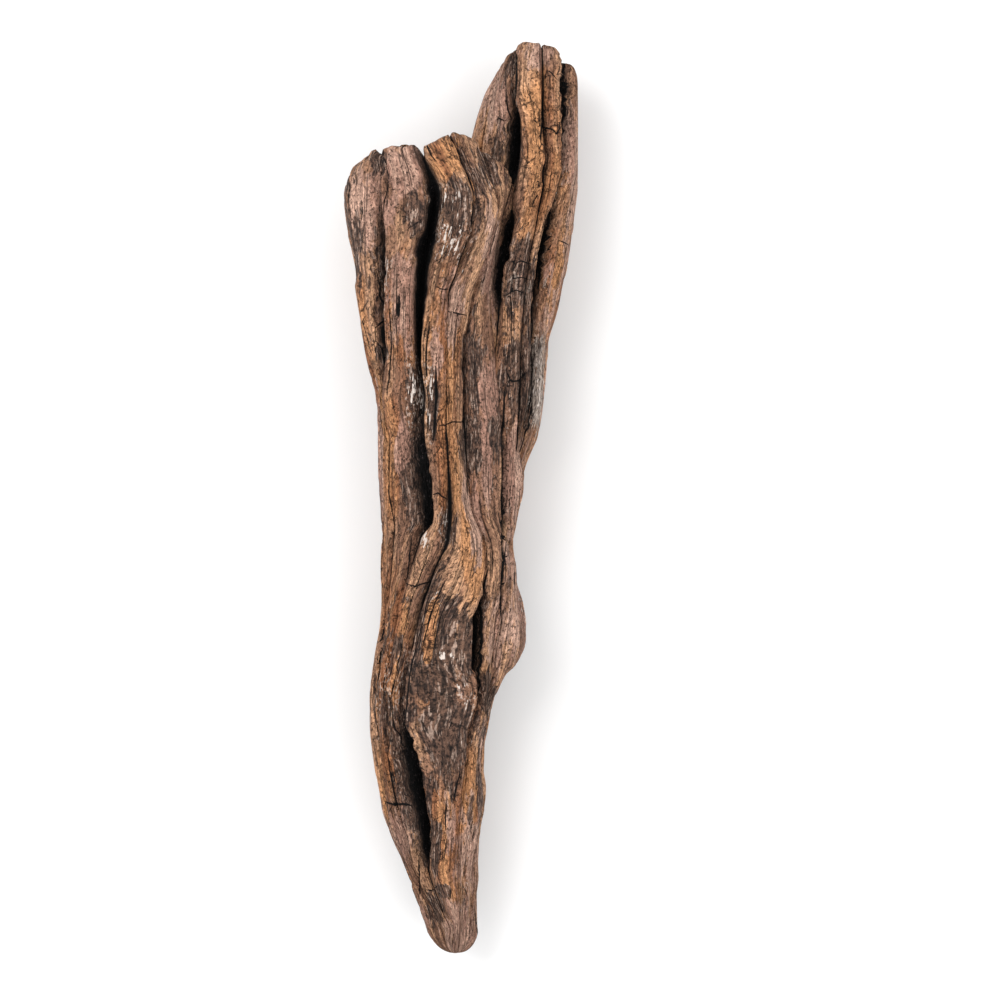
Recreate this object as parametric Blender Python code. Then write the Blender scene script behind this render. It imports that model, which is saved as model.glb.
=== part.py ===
"""A piece of driftwood, lying on a flat surface: a blunt, split trunk that tapers to a worn tip, and a
longer limb that grew against its right side. It is one solid.

Each limb is a loft of long strands of wood. A groove is the line between two strands: it has a route down
the wood, a depth, and a width on each side, so a crack, a hollow and a valley are all grooves. The strands
end at different heights at the broken end. The two lofts are joined, and the low spots that carry the weight
are worn flat.

+X is across the wood, +Y runs from the worn tip to the limb's end, and +Z is up.
"""

from dataclasses import dataclass, field

import bpy
import numpy as np

LENGTH = 0.320  # metres, from the limb's end to the worn tip
DRAWN_LENGTH = 320.0  # every table and size below is in millimetres, drawn for this length
UNIT = LENGTH / DRAWN_LENGTH
DRAWN_MIDDLE = -0.55  # the drawing's x of the middle of the wood's box, which is x = 0 here

SECTION_POWER = 2.35  # 2 is an ellipse, and more is squarer
STRAIGHT_DOWN = 3.0  # down to this depth, a groove's floor lies where its route is drawn
MOST_SIDEWAYS = 0.985  # a groove keeps inside this share of the half width, so that its angle stays real
DEEPEST_SHARE = 0.72  # a groove never cuts further than this share of the way to the middle
WALL_POWER = 0.8  # how round a groove's rims are: under 1 they are sharp
PLATEAU_POWER = 9.0  # how flat a strand is between its grooves
TILT, TILT_ALONG = 2.2, 42.0  # how far a strand leans to one side, and over what length that changes
LUMP, LUMP_ACROSS, LUMP_ALONG = 1.3, 11.0, 34.0  # the height and size of the wood's slow waves
FULL_RIDGE_RADIUS = 14.0  # where a limb is thinner than this, its ridges and waves are lower
CAP_ROUGHNESS, CAP_GRAIN = 2.4, 6.0  # the height and size of the broken end's teeth
BARK_COLOUR = (0.33, 0.20, 0.12, 1.0)
BARK_ROUGHNESS = 0.85


def smooth(table, y):
    """The value at y of a smooth curve through (y, value) pairs that never overshoots them."""
    points = np.array(sorted(table), float)
    ys, values = points[:, 0], points[:, 1]
    steps = np.diff(ys)
    rise = np.diff(values) / steps
    slope = np.concatenate([rise[:1], np.zeros(len(rise) - 1), rise[-1:]])
    bends = rise[:-1] * rise[1:] > 0
    slope[1:-1][bends] = 2 * (rise[:-1] * rise[1:])[bends] / (rise[:-1] + rise[1:])[bends]
    y = np.clip(y, ys[0], ys[-1])
    i = np.clip(np.searchsorted(ys, y) - 1, 0, len(ys) - 2)
    t = (y - ys[i]) / steps[i]
    start = (1 + 2 * t) * (1 - t) ** 2 * values[i] + t * (1 - t) ** 2 * steps[i] * slope[i]
    end = t**2 * (3 - 2 * t) * values[i + 1] - t**2 * (1 - t) * steps[i] * slope[i + 1]
    return start + end


def lattice_noise(x, y, z, seed):
    """Smooth noise from -1 to 1, with features one unit across."""
    place = np.stack(np.broadcast_arrays(x, y, z), -1)
    cell = np.floor(place).astype(np.int64)
    part = place - cell
    part = part * part * (3 - 2 * part)
    total = 0.0
    for corner in np.ndindex(2, 2, 2):
        mixed = (cell + corner) @ np.array([374761393, 668265263, 1442695041]) + seed * 974711
        mixed = (mixed ^ (mixed >> 13)) * 1274126177
        value = ((mixed ^ (mixed >> 16)) & 0xFFFFFF) / 0x7FFFFF - 1
        total = total + value * np.prod(np.where(corner, part, 1 - part), axis=-1)
    return total


@dataclass
class Groove:
    """A groove on the upper side. A row of its route is y, x, depth, right width and left width."""

    route: list

    def at(self, y, centre, half_width):
        """The groove's angle round the section, its depth, and its right and left widths."""
        columns = [smooth([(row[0], row[i]) for row in self.route], y) for i in (1, 2, 3, 4)]
        floor_half_width = half_width - np.minimum(columns[1], STRAIGHT_DOWN)
        share = np.clip((columns[0] - centre) / floor_half_width, -MOST_SIDEWAYS, MOST_SIDEWAYS)
        angle = np.arccos(np.sign(share) * np.abs(share) ** (SECTION_POWER / 2))
        return angle, columns[1], columns[2], columns[3]


@dataclass
class UnderGroove:
    """A groove on the underside, at an angle in degrees from +X, that wanders, comes and goes, and may open
    into a hollow, which has a height, an extra depth and width, and a length."""

    degrees: float
    depth: float
    width: float
    seed: int
    wander: float = 8.0
    wave: float = 60.0
    hollow: tuple = (0.0, 0.0, 0.0, 1.0)

    def at(self, y, centre, half_width):
        """The groove's angle round the section, its depth, and its right and left widths."""
        drift = lattice_noise(y / self.wave, 0.5, 0.5, self.seed)
        comes = 0.5 + 1.1 * lattice_noise(y / (0.6 * self.wave), 3.5, 0.5, self.seed)
        hollow_y, more_depth, more_width, length = self.hollow
        opens = np.exp(-(((y - hollow_y) / length) ** 2))
        angle = np.radians(self.degrees + self.wander * drift)
        depth = self.depth * np.clip(comes, 0.08, 1.0) + more_depth * opens
        width = self.width + more_width * opens
        return angle, depth, width, width


@dataclass
class Limb:
    """One limb of the wood. The tables are (y, value) pairs, and the grooves run anticlockwise from +X."""

    left: list
    right: list
    top: list
    under: list
    grooves: list
    end_line: list  # the broken end: (strand and share across it, height) pairs, all the way round
    end_middle: float  # the height of the broken end at its centre
    tip: float
    tip_rounding: float
    end_rounding: float
    ridge: float  # how far each strand stands out at its middle
    seed: int
    pads: list = field(default_factory=list)  # x, y, drop and radius of each low spot of the underside

    def end_height(self, strand, t):
        """Where a strand stops at the broken end."""
        places, heights = np.array(self.end_line).T
        return np.interp(strand + t, places, heights, period=len(self.grooves))

    def surface(self, strand, t, y):
        """The x and z of the side of the limb, t of the way across a strand, at height y."""
        left, right, top, under = (smooth(edge, y) for edge in (self.left, self.right, self.top, self.under))
        centre_x, half_width = (left + right) / 2, (right - left) / 2
        centre_z, half_height = (top + under) / 2, (top - under) / 2
        found = np.array([groove.at(y, centre_x, half_width) for groove in self.grooves])
        found = np.concatenate([found, found[:1]])
        found[-1, 0] += 2 * np.pi
        row, column = np.indices(y.shape)
        start, depth, _, left_width = np.moveaxis(found[strand, :, row, column], -1, 0)
        end, next_depth, right_width, _ = np.moveaxis(found[strand + 1, :, row, column], -1, 0)
        angle = start + t * (end - start)
        cosine, sine = np.cos(angle), np.sin(angle)
        x = half_width * np.sign(cosine) * np.abs(cosine) ** (2 / SECTION_POWER)
        z = half_height * np.sign(sine) * np.abs(sine) ** (2 / SECTION_POWER)
        radius = np.hypot(x, z)
        across = (end - start) * np.hypot(half_width * sine, half_height * cosine)
        cut = depth * self.wall(t * across / left_width)
        next_cut = next_depth * self.wall((1 - t) * across / right_width)
        plateau = 1 - np.abs(2 * t - 1) ** PLATEAU_POWER
        swell = self.ridge * (1 - plateau)
        tilt = TILT * lattice_noise(strand * 7.3, y / TILT_ALONG, 0.5, self.seed + 9)
        swell = swell + tilt * (t - 0.5) * plateau
        swell = swell + LUMP * lattice_noise(x / LUMP_ACROSS, y / LUMP_ALONG, z / LUMP_ACROSS, self.seed)
        inset = np.maximum(cut, next_cut) + swell * np.clip(radius / FULL_RIDGE_RADIUS, 0, 1)
        below_end = np.clip((self.end_height(strand, t) - y) / self.end_rounding, 0, 1)
        inset = inset + self.end_rounding * (1 - np.sqrt(1 - (1 - below_end) ** 2))
        worn = np.clip((self.tip + self.tip_rounding - y) / self.tip_rounding, 0, 1)
        keep = (1 - np.minimum(inset, DEEPEST_SHARE * radius) / radius) * np.sqrt(1 - worn**2)
        x, z = centre_x + x * keep, centre_z + z * keep
        for pad_x, pad_y, drop, reach in self.pads:
            near = np.exp(-((x - pad_x) ** 2 + (0.6 * (y - pad_y)) ** 2) / reach**2)
            z = z - drop * near * np.clip(-2 * sine, 0, 1)
        return x, z

    @staticmethod
    def wall(distance):
        """A groove's depth at a distance from its line, as shares of its depth and width."""
        return (1 - np.clip(distance, 0, 1) ** 2) ** WALL_POWER


def shares_along(rings):
    """Shares from 0 to 1 down a limb, closer together at both ends."""
    middle = (np.arange(rings) + 0.5) / rings
    gap = 0.22 + 0.78 * np.clip(np.minimum(middle, 1 - middle) / 0.10, 0, 1)
    return np.concatenate([[0.0], np.cumsum(gap) / gap.sum()])


def loft(name, limb, columns, rings, cap_rings):
    """A closed mesh object of one limb. Every strand has the same columns, at those shares across it."""
    strands = len(limb.grooves)
    count = strands * len(columns)
    strand = np.repeat(np.arange(strands), len(columns))[None, :]
    t = np.tile(columns, strands)[None, :]
    end = limb.end_height(strand, t)
    shares = shares_along(rings)[:-1, None]
    y = end + (limb.tip - end) * shares
    strand, t = np.broadcast_to(strand, y.shape), np.broadcast_to(t, y.shape)
    x, z = limb.surface(strand, t, y)
    middle_x, middle_z = x[0].mean(), z[0].mean()
    caps = []
    for share in np.arange(1, cap_rings) / cap_rings:
        cap_x, cap_z = middle_x + share * (x[0] - middle_x), middle_z + share * (z[0] - middle_z)
        teeth = CAP_ROUGHNESS * lattice_noise(cap_x / CAP_GRAIN, 0.5, cap_z / CAP_GRAIN, limb.seed + 1)
        cap_y = limb.end_middle + (y[0] - limb.end_middle) * share**2 + teeth * (1 - share**4)
        caps.append(np.stack([cap_x, cap_y, cap_z], -1))
    side = np.stack([x, y, z], -1)
    grid = np.concatenate([caps, side])
    head = [middle_x, limb.end_middle, middle_z]
    foot = [(smooth(limb.left, limb.tip) + smooth(limb.right, limb.tip)) / 2, limb.tip]
    foot.append((smooth(limb.top, limb.tip) + smooth(limb.under, limb.tip)) / 2)
    points = np.concatenate([[head], grid.reshape(-1, 3), [foot]])
    points = (points - [DRAWN_MIDDLE, 0, 0]) * UNIT
    following = np.roll(np.arange(count), -1)
    faces = [(0, 1 + i, 1 + following[i]) for i in range(count)]
    for ring in range(len(grid) - 1):
        upper, lower = 1 + ring * count, 1 + (ring + 1) * count
        faces += [(upper + i, lower + i, lower + following[i], upper + following[i]) for i in range(count)]
    last = 1 + (len(grid) - 1) * count
    faces += [(last + i, len(points) - 1, last + following[i]) for i in range(count)]
    mesh = bpy.data.meshes.new(name)
    mesh.from_pydata(points.tolist(), [], faces)
    made = bpy.data.objects.new(name, mesh)
    bpy.context.scene.collection.objects.link(made)
    return made


# The trunk's edges, seen from above, and its highest and lowest lines, seen from the side.
TRUNK_LEFT = [
    (125, -35), (118, -36.8), (114.5, -38.8), (110, -40.3), (106, -41.1), (94, -40.6), (80, -38.3),
    (66, -37), (55, -35.2), (45, -32.9), (36, -30), (27, -29.5), (0, -28.3), (-21, -27.4), (-35, -26.9),
    (-44, -27.9), (-56, -29.6), (-67, -30.6), (-81, -30.8), (-91, -30.1), (-102, -28.4), (-111, -26.7),
    (-118, -24.2), (-126, -20.4), (-133, -17.8), (-140, -15.5), (-149, -12.7), (-154, -11.2),
    (-160, -10),
]
TRUNK_RIGHT = [
    (125, 14), (118, 17.5), (112, 20.2), (107, 21), (100, 18.2), (94, 15.3), (87, 13.4), (80, 11.8),
    (73, 11.5), (66, 12), (59, 12.6), (34, 15), (17, 20.4), (8, 22), (2, 21.5), (-4, 20), (-11, 18.6),
    (-17, 17.3), (-28, 18.3), (-37, 20.5), (-44, 22), (-51, 22.2), (-55, 20.8), (-58.5, 18.9),
    (-61, 15.6), (-64, 13.6), (-70, 11.4), (-81, 8.5), (-88, 7), (-95, 6.6), (-102, 7.5), (-109, 7.6),
    (-116, 6.8), (-126, 6.4), (-133, 6.7), (-140, 5.9), (-154, 6), (-160, 5.6),
]
TRUNK_TOP = [
    (125, 49), (115, 53.5), (95, 57), (70, 58), (35, 56.5), (0, 54.5), (-35, 52.5), (-70, 49.5),
    (-95, 45), (-120, 38.5), (-135, 33.5), (-148, 28.5), (-160, 25),
]
TRUNK_UNDER = [
    (125, 16), (112, 11), (95, 6.5), (70, 3.5), (35, 1.6), (0, 1), (-35, 1.8), (-70, 2.6), (-95, 2),
    (-110, 2.4), (-125, 4), (-140, 7), (-150, 10), (-160, 13),
]

# The limb's. It is the lower of the two, and sinks into the trunk's side.
LIMB_LEFT = [
    (160, 19), (156.5, 16.5), (153, 14.4), (149, 12.7), (143, 9.6), (137, 7), (130, 4.6), (123, 2.9),
    (116, 2.8), (104, 2.8), (70, 2), (35, -1), (10, -1), (-28, 4),
]
LIMB_RIGHT = [
    (160, 34), (156, 36), (152, 38.4), (147, 40.5), (141, 41), (132, 41), (118, 40.3), (104, 38.9),
    (90, 37.8), (83, 36.8), (73, 34.4), (66, 32.9), (54, 30), (45, 29.4), (36, 29), (27, 27.8), (20, 26),
    (16, 24.2), (11, 22), (3, 20), (-28, 14),
]
LIMB_TOP = [
    (160, 31), (157, 34.5), (150, 38), (140, 40.5), (120, 42.5), (95, 43.5), (70, 44.5), (35, 45.5),
    (10, 42), (-15, 34), (-28, 28),
]
LIMB_UNDER = [
    (160, 16), (157, 12), (150, 8), (140, 5.4), (120, 3.4), (95, 2.2), (70, 2.2), (35, 3.5), (10, 6),
    (-28, 16),
]

# The trunk's grooves on the upper side, from the right edge to the left.
VALLEY_EDGE = Groove([
    (109, 18.2, 0.6, 3, 3), (94, 13.5, 1, 2.5, 2.5), (83, 11, 1, 2.5, 2.5), (69, 10.2, 1, 2.5, 2.5),
    (52, 11.4, 2, 2, 2.5), (34, 13.5, 3.2, 1.8, 2.2), (17, 14, 3, 1.6, 2), (-7, 14, 2.8, 1.4, 1.6),
    (-25, 14.4, 2.8, 1.4, 1.6), (-41, 13.5, 1.8, 1.4, 1.6), (-58, 11.2, 1.5, 2.5, 2.5),
    (-70, 8, 2, 3, 2.5), (-88, 5.6, 2.5, 3, 2), (-105, 5.3, 2.5, 2.5, 2), (-123, 3.5, 1.2, 2, 2),
    (-140, 2.8, 0.8, 2, 2), (-151, 2.4, 0.4, 2, 2),
])
MIDDLE_CRACK = Groove([
    (124, 4.6, 2.5, 2, 2), (112, 9.8, 2, 1.8, 1.8), (104, 12, 1.6, 1.8, 1.8), (90, 9.2, 1, 1.8, 1.8),
    (77, 5.8, 1.4, 1.4, 1.4), (71, 3.6, 2.2, 1.3, 1.3), (63, 2.1, 2.6, 1.3, 1.3), (53, 1, 2.8, 1.3, 1.3),
    (39, 0.8, 3, 1.3, 1.3), (28, 1.3, 2.8, 1.6, 1.5), (18, 1.8, 2.6, 3.5, 2.2), (8, 2.3, 1.6, 2.5, 2),
    (-4, 3.6, 0.3, 2, 2), (-14, 7.6, 0.6, 1.4, 1.4), (-24, 8.6, 1.2, 1.2, 1.2), (-31, 8.2, 2, 1.3, 1.4),
    (-36, 7, 4, 1.8, 2.2), (-42, 6, 8, 2.2, 2.8), (-53, 5.4, 9.5, 2.2, 2.6), (-65, 5, 8, 2, 2.4),
    (-74, 4.2, 2.5, 2, 2.4), (-82, 2, 2, 1.6, 1.6), (-91, 1.3, 1.8, 2, 2), (-105, 0, 1.5, 2, 2),
    (-123, -1, 1.2, 2, 2), (-151, -0.4, 0.5, 2, 2),
])
LONG_CRACK = Groove([
    (125, -3, 3, 1.6, 2), (118, 0, 2.4, 1.6, 2), (111, 3.4, 2, 1.8, 2), (104, 5.2, 1.6, 1.8, 2),
    (96, 4.6, 2, 1.5, 1.5), (87, 1.6, 2.8, 1.2, 1.3), (78, -1.6, 2.6, 1.2, 1.3),
    (69, -4.2, 1.6, 1.2, 1.3), (55, -4.9, 0.5, 1.5, 1.5), (33, -4.9, 1.4, 1.4, 1.4),
    (14, -4.6, 2.2, 1.3, 1.3), (-3, -3.9, 3.4, 1.4, 1.5), (-14, -4.6, 3, 1.5, 1.8),
    (-21, -7.4, 2.4, 1.6, 1.6), (-28, -10.6, 2.6, 1.6, 1.6), (-40, -14.4, 3.4, 1.6, 1.8),
    (-52, -16.8, 3.4, 1.6, 1.8), (-64, -18.9, 3.2, 1.6, 2), (-77, -19.4, 5, 1.8, 2.4),
    (-84, -17.9, 9, 2, 6), (-91, -16.6, 11.5, 2, 7.5), (-98, -15.3, 12, 2, 6.5),
    (-107, -13.4, 11.5, 2, 4.6), (-118, -12.3, 10.5, 2, 3.4), (-125, -11.8, 7, 2, 3),
    (-131, -11.2, 2, 2, 2.4), (-137, -9.4, 1.2, 2, 2), (-151, -4.2, 0.6, 2, 2),
])
BLACK_SPLIT = Groove([
    (123, -15.4, 4, 1.8, 2.4), (117, -13.3, 5, 1.8, 2.4), (110, -9.8, 6.5, 1.6, 2.4),
    (104, -8.4, 10, 1.6, 2.6), (98, -8.8, 11.5, 1.6, 2.8), (91, -9.9, 12, 1.6, 3.4),
    (85, -11.4, 12, 1.7, 3), (80, -12.8, 12, 1.7, 2.4), (73, -13.8, 12, 1.6, 2),
    (62, -14.4, 10, 1.4, 1.8), (55, -14.6, 8, 1.3, 1.6), (45, -14.3, 6, 1.4, 1.8),
    (34, -13.4, 4.5, 2.4, 2.6), (24, -13.6, 5, 2, 5), (17, -13, 7.5, 2, 7), (6, -11.7, 9.5, 2, 7),
    (-1, -11, 10, 2, 5.4), (-8, -11.2, 8.5, 2, 4.2), (-13, -14, 3, 2.4, 2.4), (-29, -19, 1.6, 1.5, 1.5),
    (-42, -21.7, 1.4, 1.5, 1.5), (-56, -23.8, 1.4, 1.5, 1.5), (-70, -25.2, 1.2, 1.6, 1.6),
    (-84, -25.2, 1.2, 1.8, 1.8), (-98, -23.6, 1.2, 1.8, 1.8), (-112, -20.2, 1.6, 1.8, 1.8),
    (-126, -16, 2, 1.8, 1.8), (-140, -11.2, 1.6, 1.6, 1.6), (-151, -6.5, 0.8, 1.6, 1.6),
])
LEFT_SPLIT = Groove([
    (122, -27, 3, 1.4, 2.2), (104, -26.6, 3.4, 1.4, 2.6), (87, -26.2, 8, 1.8, 4),
    (69, -26.2, 11, 2, 4.2), (52, -25.5, 10.5, 2, 3.8), (41, -25.3, 7, 2, 3), (34, -25.3, 3, 1.8, 2),
    (17, -24.2, 1.2, 1.6, 1.6), (-7, -23.3, 1.2, 1.5, 1.5), (-25, -23.8, 1.2, 1.5, 1.5),
    (-45, -26.2, 1, 1.5, 1.5), (-70, -28.9, 1, 1.5, 1.5), (-102, -26.4, 1, 1.6, 1.6),
    (-126, -19, 1, 1.6, 1.6), (-145, -11.5, 0.6, 1.4, 1.4), (-153, -9.6, 0.4, 1.2, 1.2),
    (-160, -8.3, 0.3, 1, 1),
])
LEFT_EDGE = Groove([
    (113, -37.8, 1.4, 2, 2), (104, -37.2, 2, 2, 2), (87, -35.6, 3, 2, 2), (69, -34.3, 3, 2, 2),
    (52, -32.3, 2.4, 2, 2), (40, -29.6, 1.6, 2, 2), (17, -27.8, 1, 2, 2), (-30, -26.2, 1, 2, 2),
    (-39, -26.2, 2, 2.4, 2.4), (-46, -27.2, 4.5, 2.4, 2.4), (-53, -28.6, 3.4, 2.4, 2.4),
    (-62, -29.6, 1.6, 2, 2), (-90, -29.2, 1.2, 2, 2), (-120, -23, 1.2, 2, 2), (-150, -12, 0.6, 1.5, 1.5),
    (-160, -9.7, 0.3, 1, 1),
])

# The limb's, from the right edge to the left.
OUTER_VALLEY = Groove([
    (155, 33.2, 5, 2, 2.4), (150, 34.9, 9, 2.8, 2.4), (143, 34.9, 10.5, 3.2, 2.4), (136, 35, 9.5, 3, 2.2),
    (129, 34.9, 6, 2.4, 2.2), (118, 34.2, 3, 2.2, 2.2), (105, 31.8, 3, 2.2, 2.2), (97, 29.8, 6, 2.2, 2.6),
    (90, 28.2, 8.5, 2.4, 2.8), (80, 26.6, 8.5, 2.2, 2.6), (66, 24.7, 5, 2, 2.2), (55, 23.6, 3, 2, 2),
    (34, 22.3, 3, 2, 2), (20, 20.3, 2, 2, 2), (-28, 11, 0.5, 2, 2),
])
LIMB_CRACK = Groove([
    (159, 28.4, 1.8, 1.2, 1.2), (140, 28.5, 2.6, 1.2, 1.2), (129, 28.7, 3.2, 1.3, 1.4),
    (118, 29, 3.4, 1.3, 1.6), (108, 28, 3, 1.4, 1.6), (94, 25.6, 1.8, 1.6, 1.8),
    (83, 23.8, 1.4, 1.6, 1.8), (55, 21, 1.4, 1.6, 1.6), (34, 20, 2.4, 1.8, 1.8), (-28, 10, 0.5, 2, 2),
])
LIMB_HOLLOW = Groove([
    (158, 20.3, 1.4, 1.2, 1.2), (150, 19, 2.6, 1.2, 1.2), (143, 18.6, 3, 1.2, 1.3),
    (138, 18.8, 4, 1.4, 1.8), (132, 19.2, 8, 1.8, 3), (124, 19, 10.5, 2, 4.2), (116, 18.5, 10, 2, 4.2),
    (110, 17.8, 5, 2, 3), (104, 17.4, 3, 2, 3), (98, 17.4, 6, 2.2, 4), (93, 16.6, 10, 2.2, 4.4),
    (86, 15.2, 11, 2.2, 4.4), (78, 13.4, 10.5, 2.2, 4), (71, 12.8, 8, 2, 3), (65, 13, 3, 2, 2.4),
    (34, 10, 1, 2, 2), (-28, 8.4, 0.5, 2, 2),
])
LIMB_EDGE = Groove([
    (156, 17.6, 1, 1.6, 1.6), (143, 12.4, 1.6, 1.6, 1.6), (130, 9, 1.8, 1.6, 1.6),
    (117, 6.8, 1.4, 1.6, 1.6), (104, 6, 1, 1.6, 1.6), (69, 5, 1, 1.6, 1.6), (-28, 6, 0.5, 2, 2),
])

TRUNK = Limb(
    left=TRUNK_LEFT,
    right=TRUNK_RIGHT,
    top=TRUNK_TOP,
    under=TRUNK_UNDER,
    grooves=[
        VALLEY_EDGE, MIDDLE_CRACK, LONG_CRACK, BLACK_SPLIT, LEFT_SPLIT, LEFT_EDGE,
        UnderGroove(197, 3.0, 2.2, 11), UnderGroove(221, 6.0, 3.0, 12, hollow=(-62, 5, 4, 24)),
        UnderGroove(252, 3.5, 2.4, 13), UnderGroove(276, 6.5, 3.0, 14, hollow=(28, 7, 5, 26)),
        UnderGroove(309, 3.5, 2.4, 15), UnderGroove(334, 5.0, 2.8, 16, hollow=(-78, 4, 3, 20)),
    ],
    end_line=[
        (0, 109.5), (0.25, 112.5), (0.6, 116.5), (0.95, 121), (1, 119.5), (1.12, 123.8), (1.5, 126.4),
        (1.9, 127), (2, 124.8), (2.1, 126.4), (2.4, 125), (2.7, 122.6), (2.92, 121.2), (3, 118),
        (3.1, 122.6), (3.4, 122), (3.65, 122.6), (3.9, 121), (4, 116.5), (4.1, 119), (4.3, 121.9),
        (4.5, 119.6), (4.95, 117.8), (5, 116.5), (5.4, 113), (6, 105), (6.5, 113), (7, 110), (7.7, 113),
        (7.8, 124.2), (7.95, 124), (8, 112), (8.42, 111), (8.5, 123), (8.66, 123), (8.75, 113), (9, 106),
        (9.5, 114), (10, 107), (10.5, 114), (11, 104), (11.5, 110),
    ],
    end_middle=109,
    tip=-160,
    tip_rounding=7.5,
    end_rounding=2.0,
    ridge=1.2,
    seed=3,
    pads=[(-19, 78, 9, 13), (-10, -100, 4.5, 12)],
)
LIMB = Limb(
    left=LIMB_LEFT,
    right=LIMB_RIGHT,
    top=LIMB_TOP,
    under=LIMB_UNDER,
    grooves=[
        OUTER_VALLEY, LIMB_CRACK, LIMB_HOLLOW, LIMB_EDGE,
        UnderGroove(205, 3.5, 2.4, 21), UnderGroove(238, 5.5, 2.8, 22, hollow=(118, 4, 3, 16)),
        UnderGroove(275, 3.0, 2.4, 23), UnderGroove(312, 5.5, 2.8, 24, hollow=(52, 3, 3, 18)),
        UnderGroove(345, 3.0, 2.2, 25),
    ],
    end_line=[
        (0, 152), (0.1, 157.2), (0.6, 158.5), (0.95, 159), (1, 157.6), (1.1, 159.6), (1.6, 160.1),
        (1.9, 159.4), (2, 157.8), (2.3, 157.4), (2.95, 155.6), (3, 154.8), (3.3, 152.8), (3.8, 149.5),
        (4, 147), (4.5, 151), (5, 148), (5.5, 153), (6, 149), (6.5, 152.5), (7, 148), (7.5, 152),
        (8, 147), (8.3, 147.8), (8.6, 151.4), (8.88, 153.6),
    ],
    end_middle=153,
    tip=-28,
    tip_rounding=12,
    end_rounding=2.0,
    ridge=0.9,
    seed=5,
    pads=[(24, 96, 6, 13)],
)

TRUNK_COLUMNS, TRUNK_RINGS, TRUNK_CAP_RINGS = (0.0, 0.08, 0.25, 0.5, 0.75, 0.92), 58, 4
LIMB_COLUMNS, LIMB_RINGS, LIMB_CAP_RINGS = (0.0, 0.15, 0.5, 0.85), 33, 4
FLOOR_CUTTER_DEPTH = 30.0


def bark():
    """Weathered brown wood, dry and matt."""
    made = bpy.data.materials.new("weathered_wood")
    made.use_nodes = True
    shader = made.node_tree.nodes["Principled BSDF"]
    shader.inputs["Base Color"].default_value = BARK_COLOUR
    shader.inputs["Roughness"].default_value = BARK_ROUGHNESS
    shader.inputs["Metallic"].default_value = 0.0
    return made


def below_the_floor():
    """A block that reaches up to the surface that the wood lies on."""
    side = 1.5 * LENGTH
    depth = FLOOR_CUTTER_DEPTH * UNIT
    bpy.ops.mesh.primitive_cube_add(size=1, location=(0, 0, -depth / 2), scale=(side, side, depth))
    block = bpy.context.active_object
    block.name = "below_the_floor"
    return block


def apply_boolean(target, other, operation):
    """Joins other to target, or cuts it away, and removes other."""
    modifier = target.modifiers.new(operation.lower(), "BOOLEAN")
    modifier.operation = operation
    modifier.object = other
    graph = bpy.context.evaluated_depsgraph_get()
    joined = bpy.data.meshes.new_from_object(target.evaluated_get(graph))
    target.modifiers.clear()
    target.data = joined
    bpy.data.objects.remove(other)


def driftwood():
    """The whole piece, joined, with its low spots worn flat."""
    wood = loft("driftwood", TRUNK, TRUNK_COLUMNS, TRUNK_RINGS, TRUNK_CAP_RINGS)
    limb = loft("limb", LIMB, LIMB_COLUMNS, LIMB_RINGS, LIMB_CAP_RINGS)
    apply_boolean(wood, limb, "UNION")
    apply_boolean(wood, below_the_floor(), "DIFFERENCE")
    wood.data.name = wood.name
    wood.data.materials.clear()
    wood.data.materials.append(bark())
    wood.data.shade_smooth()
    return wood


def main():
    for old in list(bpy.data.objects):
        bpy.data.objects.remove(old)
    wood = driftwood()
    pieces = bpy.data.collections.new("driftwood_piece")
    bpy.context.scene.collection.children.link(pieces)
    pieces.objects.link(wood)
    bpy.context.scene.collection.objects.unlink(wood)


main()
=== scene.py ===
"""The looks of a piece of driftwood that lies on a pale floor, seen from straight above.

The wood is modelled again, finely, from the same outlines and grooves as its solid: a split, blunt trunk
that tapers to a worn tip, and a longer limb against its right side. Every point of the mesh carries its place
in the grain, the depth of the groove it lies in, and how charred, bare, warm, flecked or silvered the wood is
there. One material turns those into colour and fine relief. It paints shade into the colour: grooves darken
with their depth, and cracks and the seams between strands are drawn black. The unit of every size below is
the millimetre, unless it says otherwise.

+X is across the wood, +Y runs from the worn tip to the limb's end, and +Z is up.
"""

import logging
from dataclasses import dataclass
from enum import Enum, IntEnum

import bpy
import numpy as np
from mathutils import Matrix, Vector, kdtree


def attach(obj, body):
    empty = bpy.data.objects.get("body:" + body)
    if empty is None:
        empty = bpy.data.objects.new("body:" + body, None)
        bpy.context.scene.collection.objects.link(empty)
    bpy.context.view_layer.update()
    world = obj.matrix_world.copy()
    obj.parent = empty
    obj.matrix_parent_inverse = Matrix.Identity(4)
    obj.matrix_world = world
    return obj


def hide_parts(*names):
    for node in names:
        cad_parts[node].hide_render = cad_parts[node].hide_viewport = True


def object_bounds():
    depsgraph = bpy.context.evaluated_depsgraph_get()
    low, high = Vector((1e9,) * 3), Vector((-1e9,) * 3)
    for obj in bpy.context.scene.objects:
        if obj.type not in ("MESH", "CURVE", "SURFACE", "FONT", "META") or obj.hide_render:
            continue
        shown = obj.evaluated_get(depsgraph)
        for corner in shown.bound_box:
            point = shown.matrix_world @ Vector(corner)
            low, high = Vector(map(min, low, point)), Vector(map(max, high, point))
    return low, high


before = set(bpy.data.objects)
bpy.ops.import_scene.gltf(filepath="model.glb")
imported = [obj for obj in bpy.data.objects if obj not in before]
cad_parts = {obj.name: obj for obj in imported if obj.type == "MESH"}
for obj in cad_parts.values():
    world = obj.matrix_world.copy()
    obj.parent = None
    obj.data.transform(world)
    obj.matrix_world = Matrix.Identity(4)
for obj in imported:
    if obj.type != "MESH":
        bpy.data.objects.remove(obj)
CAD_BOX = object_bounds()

LOG = logging.getLogger("driftwood")
MM = 0.001  # metres in a millimetre
DRAWN_MIDDLE = -0.55  # the drawing's x of the middle of the wood's box, which is x = 0 here

Route = list[tuple[float, ...]]
Triple = tuple[float, float, float]

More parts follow.
